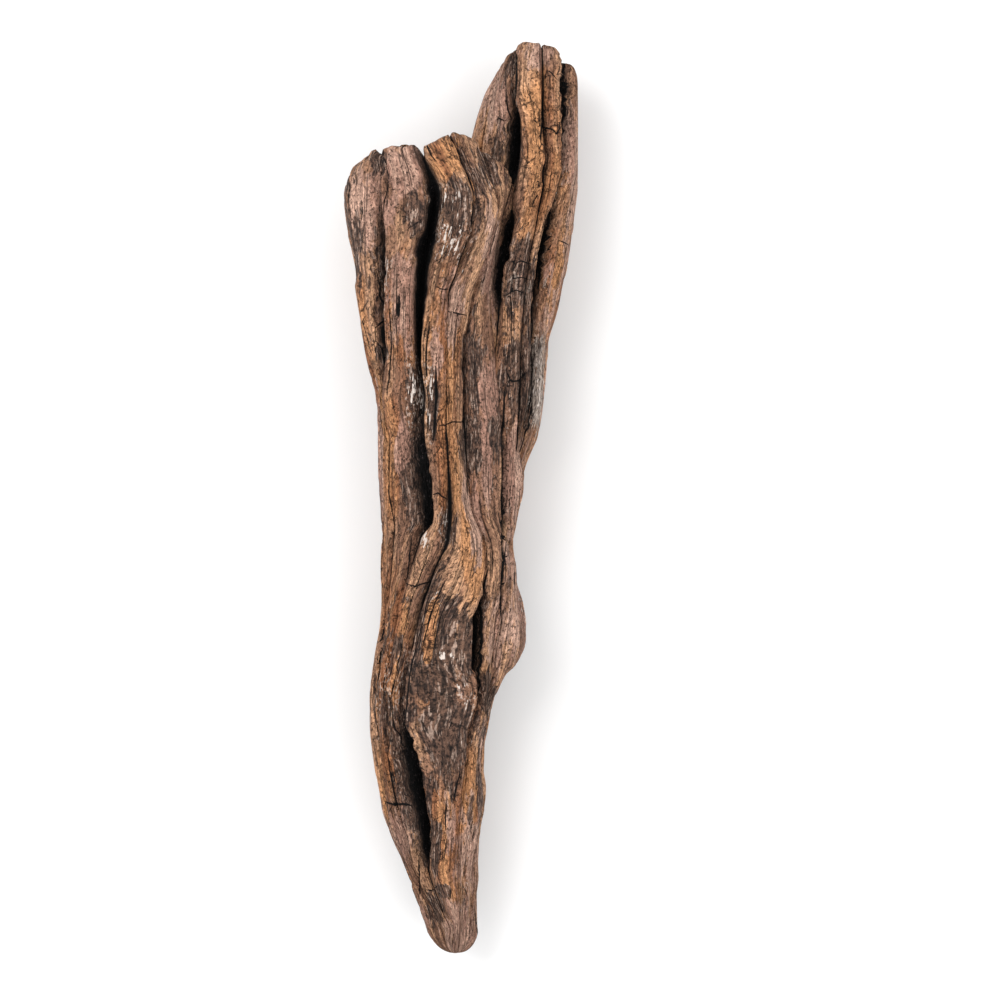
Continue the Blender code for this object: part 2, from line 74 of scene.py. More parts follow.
# The sections of the limbs.
SECTION_POWER = 2.35  # 2 is an ellipse, and more is squarer
STRAIGHT_DOWN = 3.0  # down to this depth, a groove's floor lies where its route is drawn
MOST_SIDEWAYS = 0.985  # a groove keeps inside this share of the half width, so that its angle stays real
DEEPEST_SHARE = 0.72  # a groove never cuts further than this share of the way to the middle
WALL_POWER = 0.8  # how round a groove's rims are: under 1 they are sharp
PLATEAU_POWER = 9.0  # how flat a strand is between its grooves
TILT, TILT_ALONG = 2.2, 42.0  # how far a strand leans to one side, and over what length that changes
TONE_ALONG = 80.0  # over what length a strand's own tone changes
STRAND_STEP, TONE_STEP = 7.3, 5.7  # how far apart two strands lie in the noise, so that they differ
LUMP, LUMP_ACROSS, LUMP_ALONG = 1.3, 11.0, 34.0  # the height and size of the wood's slow waves
FULL_RIDGE_RADIUS = 14.0  # where a limb is thinner than this, its ridges and waves are lower
RIM_SHIFT, RIM_SHIFT_LENGTH = 0.5, 6.0  # how far a groove's line strays, and over what length
RIM_CHIPS = 0.45  # the share by which a groove's width changes
RIGHT_CHIP_LENGTH, LEFT_CHIP_LENGTH = 3.1, 3.7  # the length of the chips out of its two rims
UPWARD_FROM = 0.3  # from this sine of its angle round the limb on, a place is wholly on the upper side
PAD_STRETCH = 0.6  # a low spot's width, as a share of its length

# The grooves of the underside come and go.
DEPTH_MIDDLE, DEPTH_SWING, LEAST_DEPTH = 0.5, 1.1, 0.08  # shares of their full depth
DEPTH_WAVE = 0.6  # how long that takes, as a share of the length over which they wander

# The grid of points.
COLUMN_CROWDING = 0.7  # how much closer together the columns are beside a groove
UNDER_SPARSER = 1.35  # how much further apart the columns are on the underside
FEWEST_COLUMNS = 4  # in each strand
CLOSE_RINGS = 0.22  # at both ends the gap between rings falls to this share
CLOSE_SHARE = 0.10  # over this share of the length
CAP_CROWDING = 0.8  # under 1, the broken end's rings are closer together towards its rim

# The broken end.
CAP_ROUGHNESS, CAP_GRAIN = 2.4, 6.0  # the height and size of its teeth
SPLINTER = 0.8  # the height of the fine teeth between them
END_TEETH = 7  # how many of those a strand's edge has
END_DEPTH = 6.0  # how far below the broken end's middle a strand may start
BROKEN_SHADE = 2.4  # its middle is shaded like a groove of about this depth
UNTORN_SHADE = 0.6  # what share of that it has where nothing is torn
PLAIN_RIM = 9  # its plain rim is a mean over one part in this many of a turn to each side
RIM_FADE, SEAM_FADE = 7.0, 4.0  # how soon the rim's folds and the black lines between them fade
TEAR, TEAR_SIZE, TEAR_STEPS = 2.0, 3.4, 1.6  # the height and size of the torn steps, and how fine they are
END_CHECKS = (0.5, 1.9, 3.3, 4.9)  # the directions of its drying cracks, in radians
END_CHECK_DEPTH, END_CHECK_WIDTH = 1.8, 0.6

# The fine relief. A size is its width across the grain and its length along it.
COARSE_FIBRE, COARSE_SIZE = 0.32, (2.7, 24)
FINE_FIBRE, FINE_SIZE = 0.22, (1.3, 9)
FURROW, FURROW_SIZE, FURROW_WIDTH = 0.9, (4.6, 46), 0.16
FURROW_PLACES = (9, 30)  # the size of the places that have furrows
PLATE_COUNT, PLATE_THICKNESS = 3.0, 0.35  # how many plates lie over each other, and how thick each is
PLATE_SIZE, PLATE_RAGS, RAGGEDNESS = (5.5, 44), (2.0, 24), 0.2  # the sizes of the plates and of their rags
CHAR_DEPTH, BARE_HEIGHT = 0.7, 0.4  # how far char is eaten away, and how far bare wood stands out
STAIN_SLOPE = (-0.05, 0.15)  # the levels between which that comes in
FURROW_SLOPE, PLATE_SLOPE = (-0.1, 0.4), (0.3, 0.7)  # the same for the furrowed places and the plates' edges

# Thin cracks.
CRACK_DEPTH, CRACK_SIDE = 2.4, 0.8  # a crack's depth for each millimetre of width, and its walls' reach
CRACK_REACH = 1.7  # further than this from a thin crack, nothing of it shows
GRAIN_REACH = 0.9  # the same for the cracks placed by chance, which all follow the grain
CRACK_RUN_OUT = 3.0  # their distance is measured this far past their ends

# Stains. A level is over 0 where the wood has the stain.
LEVEL_LIMIT = 1.5  # how far from 0 patches and chance can take a level
CHANCE_SWING, CHANCE_SIZE = 1.6, (9, 38)  # how far chance moves a level, and the size of its patches
CHANCE_HELD = 0.5  # by how much chance is held back on the upper side, where patches are placed
JAG, JAG_SIZE = 0.36, (2.4, 13)  # how ragged a stain's edge is, and the size of the rags
SMALL_JAG, SMALL_JAG_SIZE = 0.7, (1.1, 5)  # the same for small rags, as a share of the large ones
SOUND_WINS, SOUND_FROM = 2.4, 0.35  # how much bare and warm wood hold char back, and from what level

# Numbers that scatter a place's digits, for noise.
PLACE_SCATTER = np.array([374761393, 668265263, 1442695041])
SEED_SCATTER, LAST_SCATTER = 974711, 1274126177
KEPT_BITS, HALF_RANGE = 0xFFFFFF, 0x7FFFFF


def smooth(table: Route, y: np.ndarray) -> np.ndarray:
    """Reads a smooth curve through (y, value) pairs that never overshoots them.

    Args:
        table: The (y, value) pairs, in any order.
        y: The places to read.

    Returns:
        The curve's value at each place.
    """
    points = np.array(sorted(table), float)
    ys, values = points[:, 0], points[:, 1]
    steps = np.diff(ys)
    rise = np.diff(values) / steps
    slope = np.concatenate([rise[:1], np.zeros(len(rise) - 1), rise[-1:]])
    bends = rise[:-1] * rise[1:] > 0
    slope[1:-1][bends] = 2 * (rise[:-1] * rise[1:])[bends] / (rise[:-1] + rise[1:])[bends]
    y = np.clip(y, ys[0], ys[-1])
    i = np.clip(np.searchsorted(ys, y) - 1, 0, len(ys) - 2)
    t = (y - ys[i]) / steps[i]
    start = (1 + 2 * t) * (1 - t) ** 2 * values[i] + t * (1 - t) ** 2 * steps[i] * slope[i]
    end = t**2 * (3 - 2 * t) * values[i + 1] - t**2 * (1 - t) * steps[i] * slope[i + 1]
    return start + end


def lattice_noise(x: np.ndarray, y: np.ndarray, z: np.ndarray, seed: int) -> np.ndarray:
    """Makes smooth noise with features one unit across.

    Args:
        x: The first coordinate, or one number for all points.
        y: The second.
        z: The third.
        seed: Another seed gives another pattern.

    Returns:
        A value from -1 to 1 at each point.
    """
    place = np.stack(np.broadcast_arrays(x, y, z), -1)
    cell = np.floor(place).astype(np.int64)
    part = place - cell
    part = part * part * (3 - 2 * part)
    total = 0.0
    for corner in np.ndindex(2, 2, 2):
        mixed = (cell + corner) @ PLACE_SCATTER + seed * SEED_SCATTER
        mixed = (mixed ^ (mixed >> 13)) * LAST_SCATTER
        value = ((mixed ^ (mixed >> 16)) & KEPT_BITS) / HALF_RANGE - 1
        total = total + value * np.prod(np.where(corner, part, 1 - part), axis=-1)
    return total


def grain_noise(grain: np.ndarray, size: tuple[float, float], seed: int) -> np.ndarray:
    """Makes noise that is drawn out along the grain.

    Args:
        grain: Each point's place in the grain.
        size: How wide its features are across the grain, and how long they are along it.
        seed: Another seed gives another pattern.

    Returns:
        A value from -1 to 1 at each point.
    """
    ring_x, ring_y, along = np.moveaxis(grain, -1, 0)
    width, length = size
    return lattice_noise(ring_x / width, ring_y / width, along / length, seed)


def ease(low: float, high: float, value: np.ndarray) -> np.ndarray:
    """Eases from 0 at low to 1 at high, both of them numbers."""
    share = np.clip((value - low) / (high - low), 0, 1)
    return share * share * (3 - 2 * share)


def ring_mean(row: np.ndarray, reach: int) -> np.ndarray:
    """Averages each value of a closed ring with those up to reach places to either side."""
    return np.mean([np.roll(row, shift) for shift in range(-reach, reach + 1)], axis=0)


class Stain(Enum):
    """What weather has done to a patch of the wood."""

    CHAR = 0
    BARE = 1
    WARM = 2
    FLECK = 3
    SILVER = 4


class Layer(IntEnum):
    """A pattern of chance. Its number is added to a limb's seed, so that the limb's patterns differ."""

    LUMPS = 0
    TEETH = 1
    TEARS = 2
    SPLINTERS = 3
    TONE = 4
    STRAND_ENDS = 8
    TILT = 9
    COARSE_FIBRES = 20
    FINE_FIBRES = 21
    FURROWS = 22
    FURROW_PLACES = 23
    PLATES = 30
    PLATE_RAGS = 31
    STAINS = 40
    JAGS = 60
    SMALL_JAGS = 70


@dataclass(frozen=True)
class Patch:
    """A stained patch of the upper side."""

    x: float
    y: float
    half_width: float
    half_length: float
    lean: float = 0.0  # how far its line moves in x for each millimetre of y
    strength: float = 1.0

    def level(self, x: np.ndarray, y: np.ndarray) -> np.ndarray:
        """Gives the patch's level, which is its strength at its middle and 0 at its edge.

        Args:
            x: Where the points are across the wood.
            y: Where they are along it.

        Returns:
            The level at each point.
        """
        across = (x - self.x - self.lean * (y - self.y)) / self.half_width
        along = (y - self.y) / self.half_length
        return self.strength * (1 - np.hypot(across, along))


@dataclass(frozen=True)
class Crack:
    """A thin crack of the upper side, along a line of (x, y) points."""

    points: Route
    width: float

    def near(self, x: np.ndarray, y: np.ndarray) -> tuple[np.ndarray, np.ndarray]:
        """Measures how far points lie from the crack.

        Args:
            x: Where the points are across the wood.
            y: Where they are along it.

        Returns:
            The distance, which is negative on one side, and the crack's width at the nearest place, which
            narrows to nothing at its two ends.
        """
        line = np.array(self.points, float)
        lengths = np.hypot(*np.diff(line, axis=0).T)
        before = np.concatenate([[0], np.cumsum(lengths)])
        best, run = np.full(x.shape, np.inf), np.zeros(x.shape)
        for start, step, length, passed in zip(line, np.diff(line, axis=0), lengths, before):
            along = ((x - start[0]) * step[0] + (y - start[1]) * step[1]) / length
            along = np.clip(along, 0, length)
            off_x, off_y = x - start[0] - along * step[0] / length, y - start[1] - along * step[1] / length
            side = np.where(step[0] * off_y - step[1] * off_x < 0, -1.0, 1.0)
            signed = side * np.hypot(off_x, off_y)
            closer = np.abs(signed) < np.abs(best)
            best, run = np.where(closer, signed, best), np.where(closer, passed + along, run)
        share = run / before[-1]
        return best, self.width * np.sqrt(4 * share * (1 - share))


@dataclass(frozen=True)
class GrainCracks:
    """Drying cracks that follow the grain, placed by chance all round a limb."""

    count: int
    seed: int
    shortest: float = 9.0
    longest: float = 60.0
    thinnest: float = 0.15
    widest: float = 0.55
    wander: float = 0.012  # how far a crack strays round the limb, in turns
    wander_length: float = 14.0
    nearby: float = 0.05  # how far round the limb a crack is measured, in turns

    def near(self, turn: np.ndarray, y: np.ndarray, girth: np.ndarray) -> tuple[np.ndarray, np.ndarray]:
        """Measures how far points lie from the nearest of the cracks.

        Args:
            turn: How far round the limb each point is, in turns.
            y: Its height.
            girth: The distance round the limb there.

        Returns:
            The distance, which is negative on one side, and the crack's width at the nearest place.
        """
        draw = np.random.default_rng(self.seed)
        best, widest = np.full(y.shape, np.inf), np.zeros(y.shape)
        for number in range(self.count):
            place, middle = draw.random(), draw.uniform(y.min(), y.max())
            length = self.shortest + (self.longest - self.shortest) * draw.random() ** 2
            width = draw.uniform(self.thinnest, self.widest)
            reach = (turn - place + 0.5) % 1 - 0.5
            beside = np.abs(y - middle) < length / 2 + CRACK_RUN_OUT
            rows = np.nonzero((np.abs(reach) < self.nearby) & beside)
            stray = self.wander * lattice_noise(y[rows] / self.wander_length, number + 0.5, 0.5, self.seed)
            signed = (reach[rows] - stray) * girth[rows]
            taper = np.sqrt(np.maximum(1 - (2 * (y[rows] - middle) / length) ** 2, 0))
            closer = np.abs(signed) < np.abs(best[rows])
            best[rows] = np.where(closer, signed, best[rows])
            widest[rows] = np.where(closer, width * taper, widest[rows])
        return np.clip(best, -GRAIN_REACH, GRAIN_REACH), widest * (np.abs(best) < GRAIN_REACH)


@dataclass
class Groove:
    """A groove on the upper side. Its route's rows are y, x, depth, width to the right, width to the left."""

    route: Route

    def at(self, y: np.ndarray, centre: np.ndarray, half_width: np.ndarray) -> tuple[np.ndarray, ...]:
        """Reads the groove at heights along the wood.

        Args:
            y: The heights.
            centre: The section's middle, in x, at each.
            half_width: Half the section's width at each.

        Returns:
            The groove's angle round the section, its depth, and its right and left widths.
        """
        x, depth, right, left = (smooth([(row[0], row[i]) for row in self.route], y) for i in (1, 2, 3, 4))
        seed = len(self.route) + round(self.route[0][1])
        x = x + RIM_SHIFT * lattice_noise(y / RIM_SHIFT_LENGTH, 0.5, 0.5, seed)
        right = right * (1 + RIM_CHIPS * lattice_noise(y / RIGHT_CHIP_LENGTH, 1.5, 0.5, seed))
        left = left * (1 + RIM_CHIPS * lattice_noise(y / LEFT_CHIP_LENGTH, 2.5, 0.5, seed))
        floor_half_width = half_width - np.minimum(depth, STRAIGHT_DOWN)
        share = np.clip((x - centre) / floor_half_width, -MOST_SIDEWAYS, MOST_SIDEWAYS)
        angle = np.arccos(np.sign(share) * np.abs(share) ** (SECTION_POWER / 2))
        return angle, depth, right, left


@dataclass
class UnderGroove:
    """A groove on the underside, at an angle in degrees from +X, that wanders, comes and goes.

    It may open into a hollow, which has a height, an extra depth, an extra width and a length.
    """

    degrees: float
    depth: float
    width: float
    seed: int
    wander: float = 8.0
    wave: float = 60.0
    hollow: tuple[float, float, float, float] = (0.0, 0.0, 0.0, 1.0)

    def at(self, y: np.ndarray, centre: np.ndarray, half_width: np.ndarray) -> tuple[np.ndarray, ...]:
        """Reads the groove at heights along the wood.

        Args:
            y: The heights.
            centre: Not used here: the groove goes by its angle.
            half_width: Not used here.

        Returns:
            The groove's angle round the section, its depth, and its right and left widths.
        """
        drift = lattice_noise(y / self.wave, 0.5, 0.5, self.seed)
        comes = DEPTH_MIDDLE + DEPTH_SWING * lattice_noise(y / (DEPTH_WAVE * self.wave), 3.5, 0.5, self.seed)
        hollow_y, more_depth, more_width, length = self.hollow
        opens = np.exp(-(((y - hollow_y) / length) ** 2))
        angle = np.radians(self.degrees + self.wander * drift)
        depth = self.depth * np.clip(comes, LEAST_DEPTH, 1.0) + more_depth * opens
        width = self.width + more_width * opens
        return angle, depth, width, width


@dataclass
class Skin:
    """A closed grid of points, ring by ring, with a point at each end, and what the wood is like there."""

    points: np.ndarray  # n rows of x, y and z
    faces: list[tuple[int, ...]]
    traits: dict[str, np.ndarray]  # n rows of three numbers for each name


@dataclass
class Limb:
    """One limb of the wood. The tables are (y, value) pairs, and the grooves run anticlockwise from +X."""

    left: Route
    right: Route
    top: Route
    under: Route
    grooves: list[Groove | UnderGroove]
    end_line: Route  # the broken end: (strand and share across it, height) pairs, all the way round
    end_middle: float  # the height of the broken end at its centre
    tip: float
    tip_rounding: float
    end_rounding: float
    ridge: float  # how far each strand stands out at its middle
    seed: int
    pads: Route  # x, y, drop and radius of each low spot of the underside
    cracks: GrainCracks
    column_gap: float  # about how far apart the points are round the limb
    rings: int
    cap_rings: int

    def end_height(self, strand: np.ndarray, t: np.ndarray) -> np.ndarray:
        """Gives where a strand stops at the broken end.

        Args:
            strand: The strand's number.
            t: How far across the strand, from 0 to 1.

        Returns:
            The height.
        """
        places, heights = np.array(self.end_line).T
        line = np.interp(strand + t, places, heights, period=len(self.grooves))
        teeth = lattice_noise((strand + t) * END_TEETH, 0.5, 0.5, self.seed + Layer.STRAND_ENDS)
        return line + SPLINTER * teeth

    def angles(self, y: np.ndarray) -> np.ndarray:
        """Reads every groove at heights along the limb, with the first one again at the end, a turn later.

        Args:
            y: The heights, as rings by columns.

        Returns:
            Grooves by (angle, depth, right width, left width) by rings by columns.
        """
        left, right = smooth(self.left, y), smooth(self.right, y)
        found = np.array([groove.at(y, (left + right) / 2, (right - left) / 2) for groove in self.grooves])
        found = np.concatenate([found, found[:1]])
        found[-1, 0] += 2 * np.pi
        return found

    def strand_widths(self) -> np.ndarray:
        """Gives each strand's mean width, measured round the limb."""
        y = np.linspace(self.tip + 3 * self.tip_rounding, self.end_middle - END_DEPTH, 40)[:, None]
        found = self.angles(y)[:, 0, :, 0]
        half_width = (smooth(self.right, y[:, 0]) - smooth(self.left, y[:, 0])) / 2
        half_height = (smooth(self.top, y[:, 0]) - smooth(self.under, y[:, 0])) / 2
        middle = (found[1:] + found[:-1]) / 2
        speed = np.hypot(half_width * np.sin(middle), half_height * np.cos(middle))
        return (np.diff(found, axis=0) * speed).mean(axis=1)

    def columns(self) -> tuple[np.ndarray, np.ndarray, np.ndarray]:
        """Spreads columns of points round the limb, closer together beside each groove.

        Returns:
            Each column's strand, how far across it the column is, and how far round the limb, in turns.
        """
        widths = self.strand_widths()
        starts = np.concatenate([[0], np.cumsum(widths)[:-1]])
        strands, shares, turns = [], [], []
        for number, width in enumerate(widths):
            seen = isinstance(self.grooves[number], Groove) or number == len(widths) - 1
            gap = self.column_gap if seen else UNDER_SPARSER * self.column_gap
            count = max(FEWEST_COLUMNS, round(width / gap))
            even = np.arange(count) / count
            share = even - COLUMN_CROWDING * np.sin(2 * np.pi * even) / (2 * np.pi)
            strands.append(np.full(count, number))
            shares.append(share)
            turns.append((starts[number] + share * width) / widths.sum())
        return np.concatenate(strands), np.concatenate(shares), np.concatenate(turns)

    def skin(self) -> Skin:
        """Builds the limb's closed grid, from the middle of its broken end over the sides to its tip."""
        strand, t, turn = self.columns()
        count = len(strand)
        end = self.end_height(strand, t)
        middle = (np.arange(self.rings) + 0.5) / self.rings
        gap = CLOSE_RINGS + (1 - CLOSE_RINGS) * np.clip(np.minimum(middle, 1 - middle) / CLOSE_SHARE, 0, 1)
        shares = np.concatenate([[0.0], np.cumsum(gap) / gap.sum()])[:-1, None]
        y = end + (self.tip - end) * shares
        strand, t, turn = (np.broadcast_to(row, y.shape) for row in (strand, t, turn))
        x, z, traits = self.surface(strand, t, turn, y)
        rim = {name: rows[0] for name, rows in traits.items()}
        cap, cap_traits = self.broken_end(x[0], y[0], z[0], rim)
        grid = np.concatenate([cap, np.stack([x, y, z], -1)])
        traits = {name: np.concatenate([cap_traits[name], rows]) for name, rows in traits.items()}
        head = cap[0].mean(axis=0)
        foot = [grid[-1][:, 0].mean(), self.tip, grid[-1][:, 2].mean()]
        points = np.concatenate([[head], grid.reshape(-1, 3), [foot]]) - [DRAWN_MIDDLE, 0, 0]
        flat = {name: rows.reshape(-1, 3) for name, rows in traits.items()}
        flat = {name: np.concatenate([rows[:1], rows, rows[-1:]]) for name, rows in flat.items()}
        return Skin(points, self.ring_faces(len(grid), count), flat)

    def broken_end(
        self, x: np.ndarray, y: np.ndarray, z: np.ndarray, rim: dict[str, np.ndarray]
    ) -> tuple[np.ndarray, dict[str, np.ndarray]]:
        """Covers the broken end with rings. The rim's folds fade, so that the middle is a rough, torn face.

        Args:
            x: The x of the rim's points.
            y: Their heights.
            z: Their z.
            rim: Their traits.

        Returns:
            The rings' points, from the middle out, and their traits.
        """
        middle_x, middle_z = x.mean(), z.mean()
        plain_x, plain_y, plain_z = (ring_mean(row, len(row) // PLAIN_RIM) for row in (x, y, z))
        rings, traits = [], {name: [] for name in rim}
        for share in (np.arange(1, self.cap_rings) / self.cap_rings) ** CAP_CROWDING:
            fold = share**RIM_FADE
            off_x = share * (plain_x + (x - plain_x) * fold - middle_x)
            off_z = share * (plain_z + (z - plain_z) * fold - middle_z)
            cap_x, cap_z = middle_x + off_x, middle_z + off_z
            torn = lattice_noise(cap_x / TEAR_SIZE, 0.5, cap_z / TEAR_SIZE, self.seed + Layer.TEARS)
            teeth = lattice_noise(cap_x / CAP_GRAIN, 0.5, cap_z / CAP_GRAIN, self.seed + Layer.TEETH)
            teeth = CAP_ROUGHNESS * teeth + TEAR * np.round(torn * TEAR_STEPS) / TEAR_STEPS
            teeth = teeth + SPLINTER * lattice_noise(cap_x, 0.5, cap_z, self.seed + Layer.SPLINTERS)
            check_off = self.end_checks(off_x, off_z)
            teeth = teeth - END_CHECK_DEPTH * np.clip(1 - np.abs(check_off) / CRACK_SIDE, 0, 1)
            broad = self.end_middle + (plain_y - self.end_middle) * share**2
            cap_y = broad + (y - plain_y) * fold + teeth * (1 - fold)
            rings.append(np.stack([cap_x, cap_y, cap_z], -1))
            grain = rim["grain"] * (share, share, 1)
            grain[:, 2] = cap_y
            levels = stain_levels(cap_x, cap_y, grain, np.zeros(x.shape), self.seed)
            groove, seam, split = rim["groove_shade"].T
            groove = groove * fold + BROKEN_SHADE * (UNTORN_SHADE - torn) * (1 - share**2)
            fresh = stain_traits(levels, rim["fleck"][:, 2])
            width = np.full(x.shape, END_CHECK_WIDTH * (1 - fold))
            traits["grain"].append(grain)
            traits["groove_shade"].append(np.stack([groove, seam + SEAM_FADE * (1 - fold), split], -1))
            for name, own in fresh.items():
                traits[name].append(rim[name] * fold + own * (1 - fold))
            traits["crack"].append(np.stack([check_off, width, self.plates(grain)], -1))
        return np.array(rings), {name: np.array(rows) for name, rows in traits.items()}

    @staticmethod
    def end_checks(off_x: np.ndarray, off_z: np.ndarray) -> np.ndarray:
        """Measures how far points of the broken end lie from the nearest of its drying cracks.

        Args:
            off_x: Their x from the end's middle.
            off_z: Their z from it.

        Returns:
            The distance, which is negative on one side.
        """
        best = np.full(off_x.shape, CRACK_REACH)
        for direction in END_CHECKS:
            side = off_z * np.cos(direction) - off_x * np.sin(direction)
            ahead = off_x * np.cos(direction) + off_z * np.sin(direction) > 0
            best = np.where(ahead & (np.abs(side) < np.abs(best)), side, best)
        return best

    @staticmethod
    def ring_faces(rings: int, count: int) -> list[tuple[int, ...]]:
        """Joins rings of points into faces.

        Args:
            rings: How many rings there are.
            count: How many points are in each.

        Returns:
            The corners of each face: a fan at each end, and squares between.
        """
        following = np.roll(np.arange(count), -1).tolist()
        pairs = list(enumerate(following))
        faces = [(0, 1 + i, 1 + after) for i, after in pairs]
        for ring in range(rings - 1):
            upper = 1 + ring * count
            lower = upper + count
            faces += [(upper + i, lower + i, lower + after, upper + after) for i, after in pairs]
        last = 1 + (rings - 1) * count
        faces += [(last + i, last + count, last + after) for i, after in pairs]
        return faces

    def surface(self, strand: np.ndarray, t: np.ndarray, turn: np.ndarray, y: np.ndarray) -> tuple:
        """Places points on the side of the limb.

        Args:
            strand: Each point's strand.
            t: How far across the strand it is.
            turn: How far round the limb, in turns.
            y: Its height.

        Returns:
            The points' x and z, and their traits.
        """
        left, right, top, under = (smooth(edge, y) for edge in (self.left, self.right, self.top, self.under))
        centre_x, half_width = (left + right) / 2, (right - left) / 2
        centre_z, half_height = (top + under) / 2, (top - under) / 2
        found = self.angles(y)
        row, column = np.indices(y.shape)
        start, depth, _, left_width = np.moveaxis(found[strand, :, row, column], -1, 0)
        end, next_depth, right_width, _ = np.moveaxis(found[strand + 1, :, row, column], -1, 0)
        angle = start + t * (end - start)
        cosine, sine = np.cos(angle), np.sin(angle)
        x = half_width * np.sign(cosine) * np.abs(cosine) ** (2 / SECTION_POWER)
        z = half_height * np.sign(sine) * np.abs(sine) ** (2 / SECTION_POWER)
        radius = np.hypot(x, z)
        across = (end - start) * np.hypot(half_width * sine, half_height * cosine)
        first_cut = depth * self.wall(t * across / left_width)
        next_cut = next_depth * self.wall((1 - t) * across / right_width)
        groove = np.maximum(first_cut, next_cut)
        plateau = 1 - np.abs(2 * t - 1) ** PLATEAU_POWER
        swell = self.ridge * (1 - plateau)
        tilt = TILT * lattice_noise(strand * STRAND_STEP, y / TILT_ALONG, 0.5, self.seed + Layer.TILT)
        lump = lattice_noise(x / LUMP_ACROSS, y / LUMP_ALONG, z / LUMP_ACROSS, self.seed + Layer.LUMPS)
        swell = swell + tilt * (t - 0.5) * plateau
        swell = swell + LUMP * lump
        inset = groove + swell * np.clip(radius / FULL_RIDGE_RADIUS, 0, 1)
        below_end = np.clip((self.end_height(strand, t) - y) / self.end_rounding, 0, 1)
        inset = inset + self.end_rounding * (1 - np.sqrt(1 - (1 - below_end) ** 2))
        worn = np.clip((self.tip + self.tip_rounding - y) / self.tip_rounding, 0, 1)

        plain_radius = self.strand_widths().sum() / (2 * np.pi)
        whirl = 2 * np.pi * turn
        shrink = 1 - np.minimum(groove, DEEPEST_SHARE * radius) / radius
        ring_x, ring_y = plain_radius * np.cos(whirl) * shrink, plain_radius * np.sin(whirl) * shrink
        grain = np.stack([ring_x, ring_y, y], -1)
        upward = ease(0.0, UPWARD_FROM, sine)
        levels = stain_levels(centre_x + x, y, grain, upward, self.seed)
        plates = self.plates(grain)
        inset = inset + self.relief(grain, levels, plates)

        keep = (1 - np.minimum(inset, DEEPEST_SHARE * radius) / radius) * np.sqrt(1 - worn**2)
        x, z = centre_x + x * keep, centre_z + z * keep
        for pad_x, pad_y, drop, reach in self.pads:
            near = np.exp(-((x - pad_x) ** 2 + (PAD_STRETCH * (y - pad_y)) ** 2) / reach**2)
            z = z - drop * near * np.clip(-2 * sine, 0, 1)

        signed, width = crack_lines(x, y, upward)
        girth = 2 * np.pi * np.sqrt((half_width**2 + half_height**2) / 2)
        chance, chance_width = self.cracks.near(turn, y, girth)
        closer = (np.abs(chance) < np.abs(signed)) & (chance_width > 0)
        signed, width = np.where(closer, chance, signed), np.where(closer, chance_width, width)
        opened = CRACK_DEPTH * width / radius * np.clip(1 - np.abs(signed) / CRACK_SIDE, 0, 1)
        x, z = x - (x - centre_x) * opened, z - (z - centre_z) * opened
        seam = np.minimum(t, 1 - t) * across
        split = np.where(t < 0.5, depth, next_depth)
        tone = lattice_noise(strand * TONE_STEP, y / TONE_ALONG, 2.5, self.seed + Layer.TONE)
        traits = {
            "grain": grain,
            # The groove's depth, the distance to a seam and the seam's depth, from which the material paints
            # shade.
            "groove_shade": np.stack([groove, seam, split], -1),
            "crack": np.stack([signed, width, plates], -1),
            **stain_traits(levels, tone),
        }
        return x, z, traits

    def plates(self, grain: np.ndarray) -> np.ndarray:
        """Numbers the thin plates that the surface has flaked into, one above the next.

        Args:
            grain: Each point's place in the grain.

        Returns:
            A number that rises by one from each plate to the next.
        """
        slow = grain_noise(grain, PLATE_SIZE, self.seed + Layer.PLATES)
        quick = grain_noise(grain, PLATE_RAGS, self.seed + Layer.PLATE_RAGS)
        return PLATE_COUNT * (slow + RAGGEDNESS * quick)

    def relief(self, grain: np.ndarray, levels: dict[Stain, np.ndarray], plates: np.ndarray) -> np.ndarray:
        """Adds the fine hills and furrows that the solid leaves out.

        Args:
            grain: Each point's place in the grain.
            levels: Each stain's level there.
            plates: The number of the plate that it is on.

        Returns:
            How far each point lies below the plain surface.
        """
        coarse = grain_noise(grain, COARSE_SIZE, self.seed + Layer.COARSE_FIBRES)
        fine = grain_noise(grain, FINE_SIZE, self.seed + Layer.FINE_FIBRES)
        furrow = grain_noise(grain, FURROW_SIZE, self.seed + Layer.FURROWS)
        comes = ease(*FURROW_SLOPE, grain_noise(grain, FURROW_PLACES, self.seed + Layer.FURROW_PLACES))
        furrows = FURROW * comes * np.clip(1 - np.abs(furrow) / FURROW_WIDTH, 0, 1)
        charred, bare = (ease(*STAIN_SLOPE, levels[stain]) for stain in (Stain.CHAR, Stain.BARE))
        sunk = CHAR_DEPTH * charred - BARE_HEIGHT * bare
        stepped = np.floor(plates) + ease(*PLATE_SLOPE, plates - np.floor(plates))
        return COARSE_FIBRE * coarse + FINE_FIBRE * fine + furrows + sunk - PLATE_THICKNESS * stepped

    @staticmethod
    def wall(distance: np.ndarray) -> np.ndarray:
        """Gives a groove's depth at a distance from its line, as shares of its depth and width."""
        return (1 - np.clip(distance, 0, 1) ** 2) ** WALL_POWER


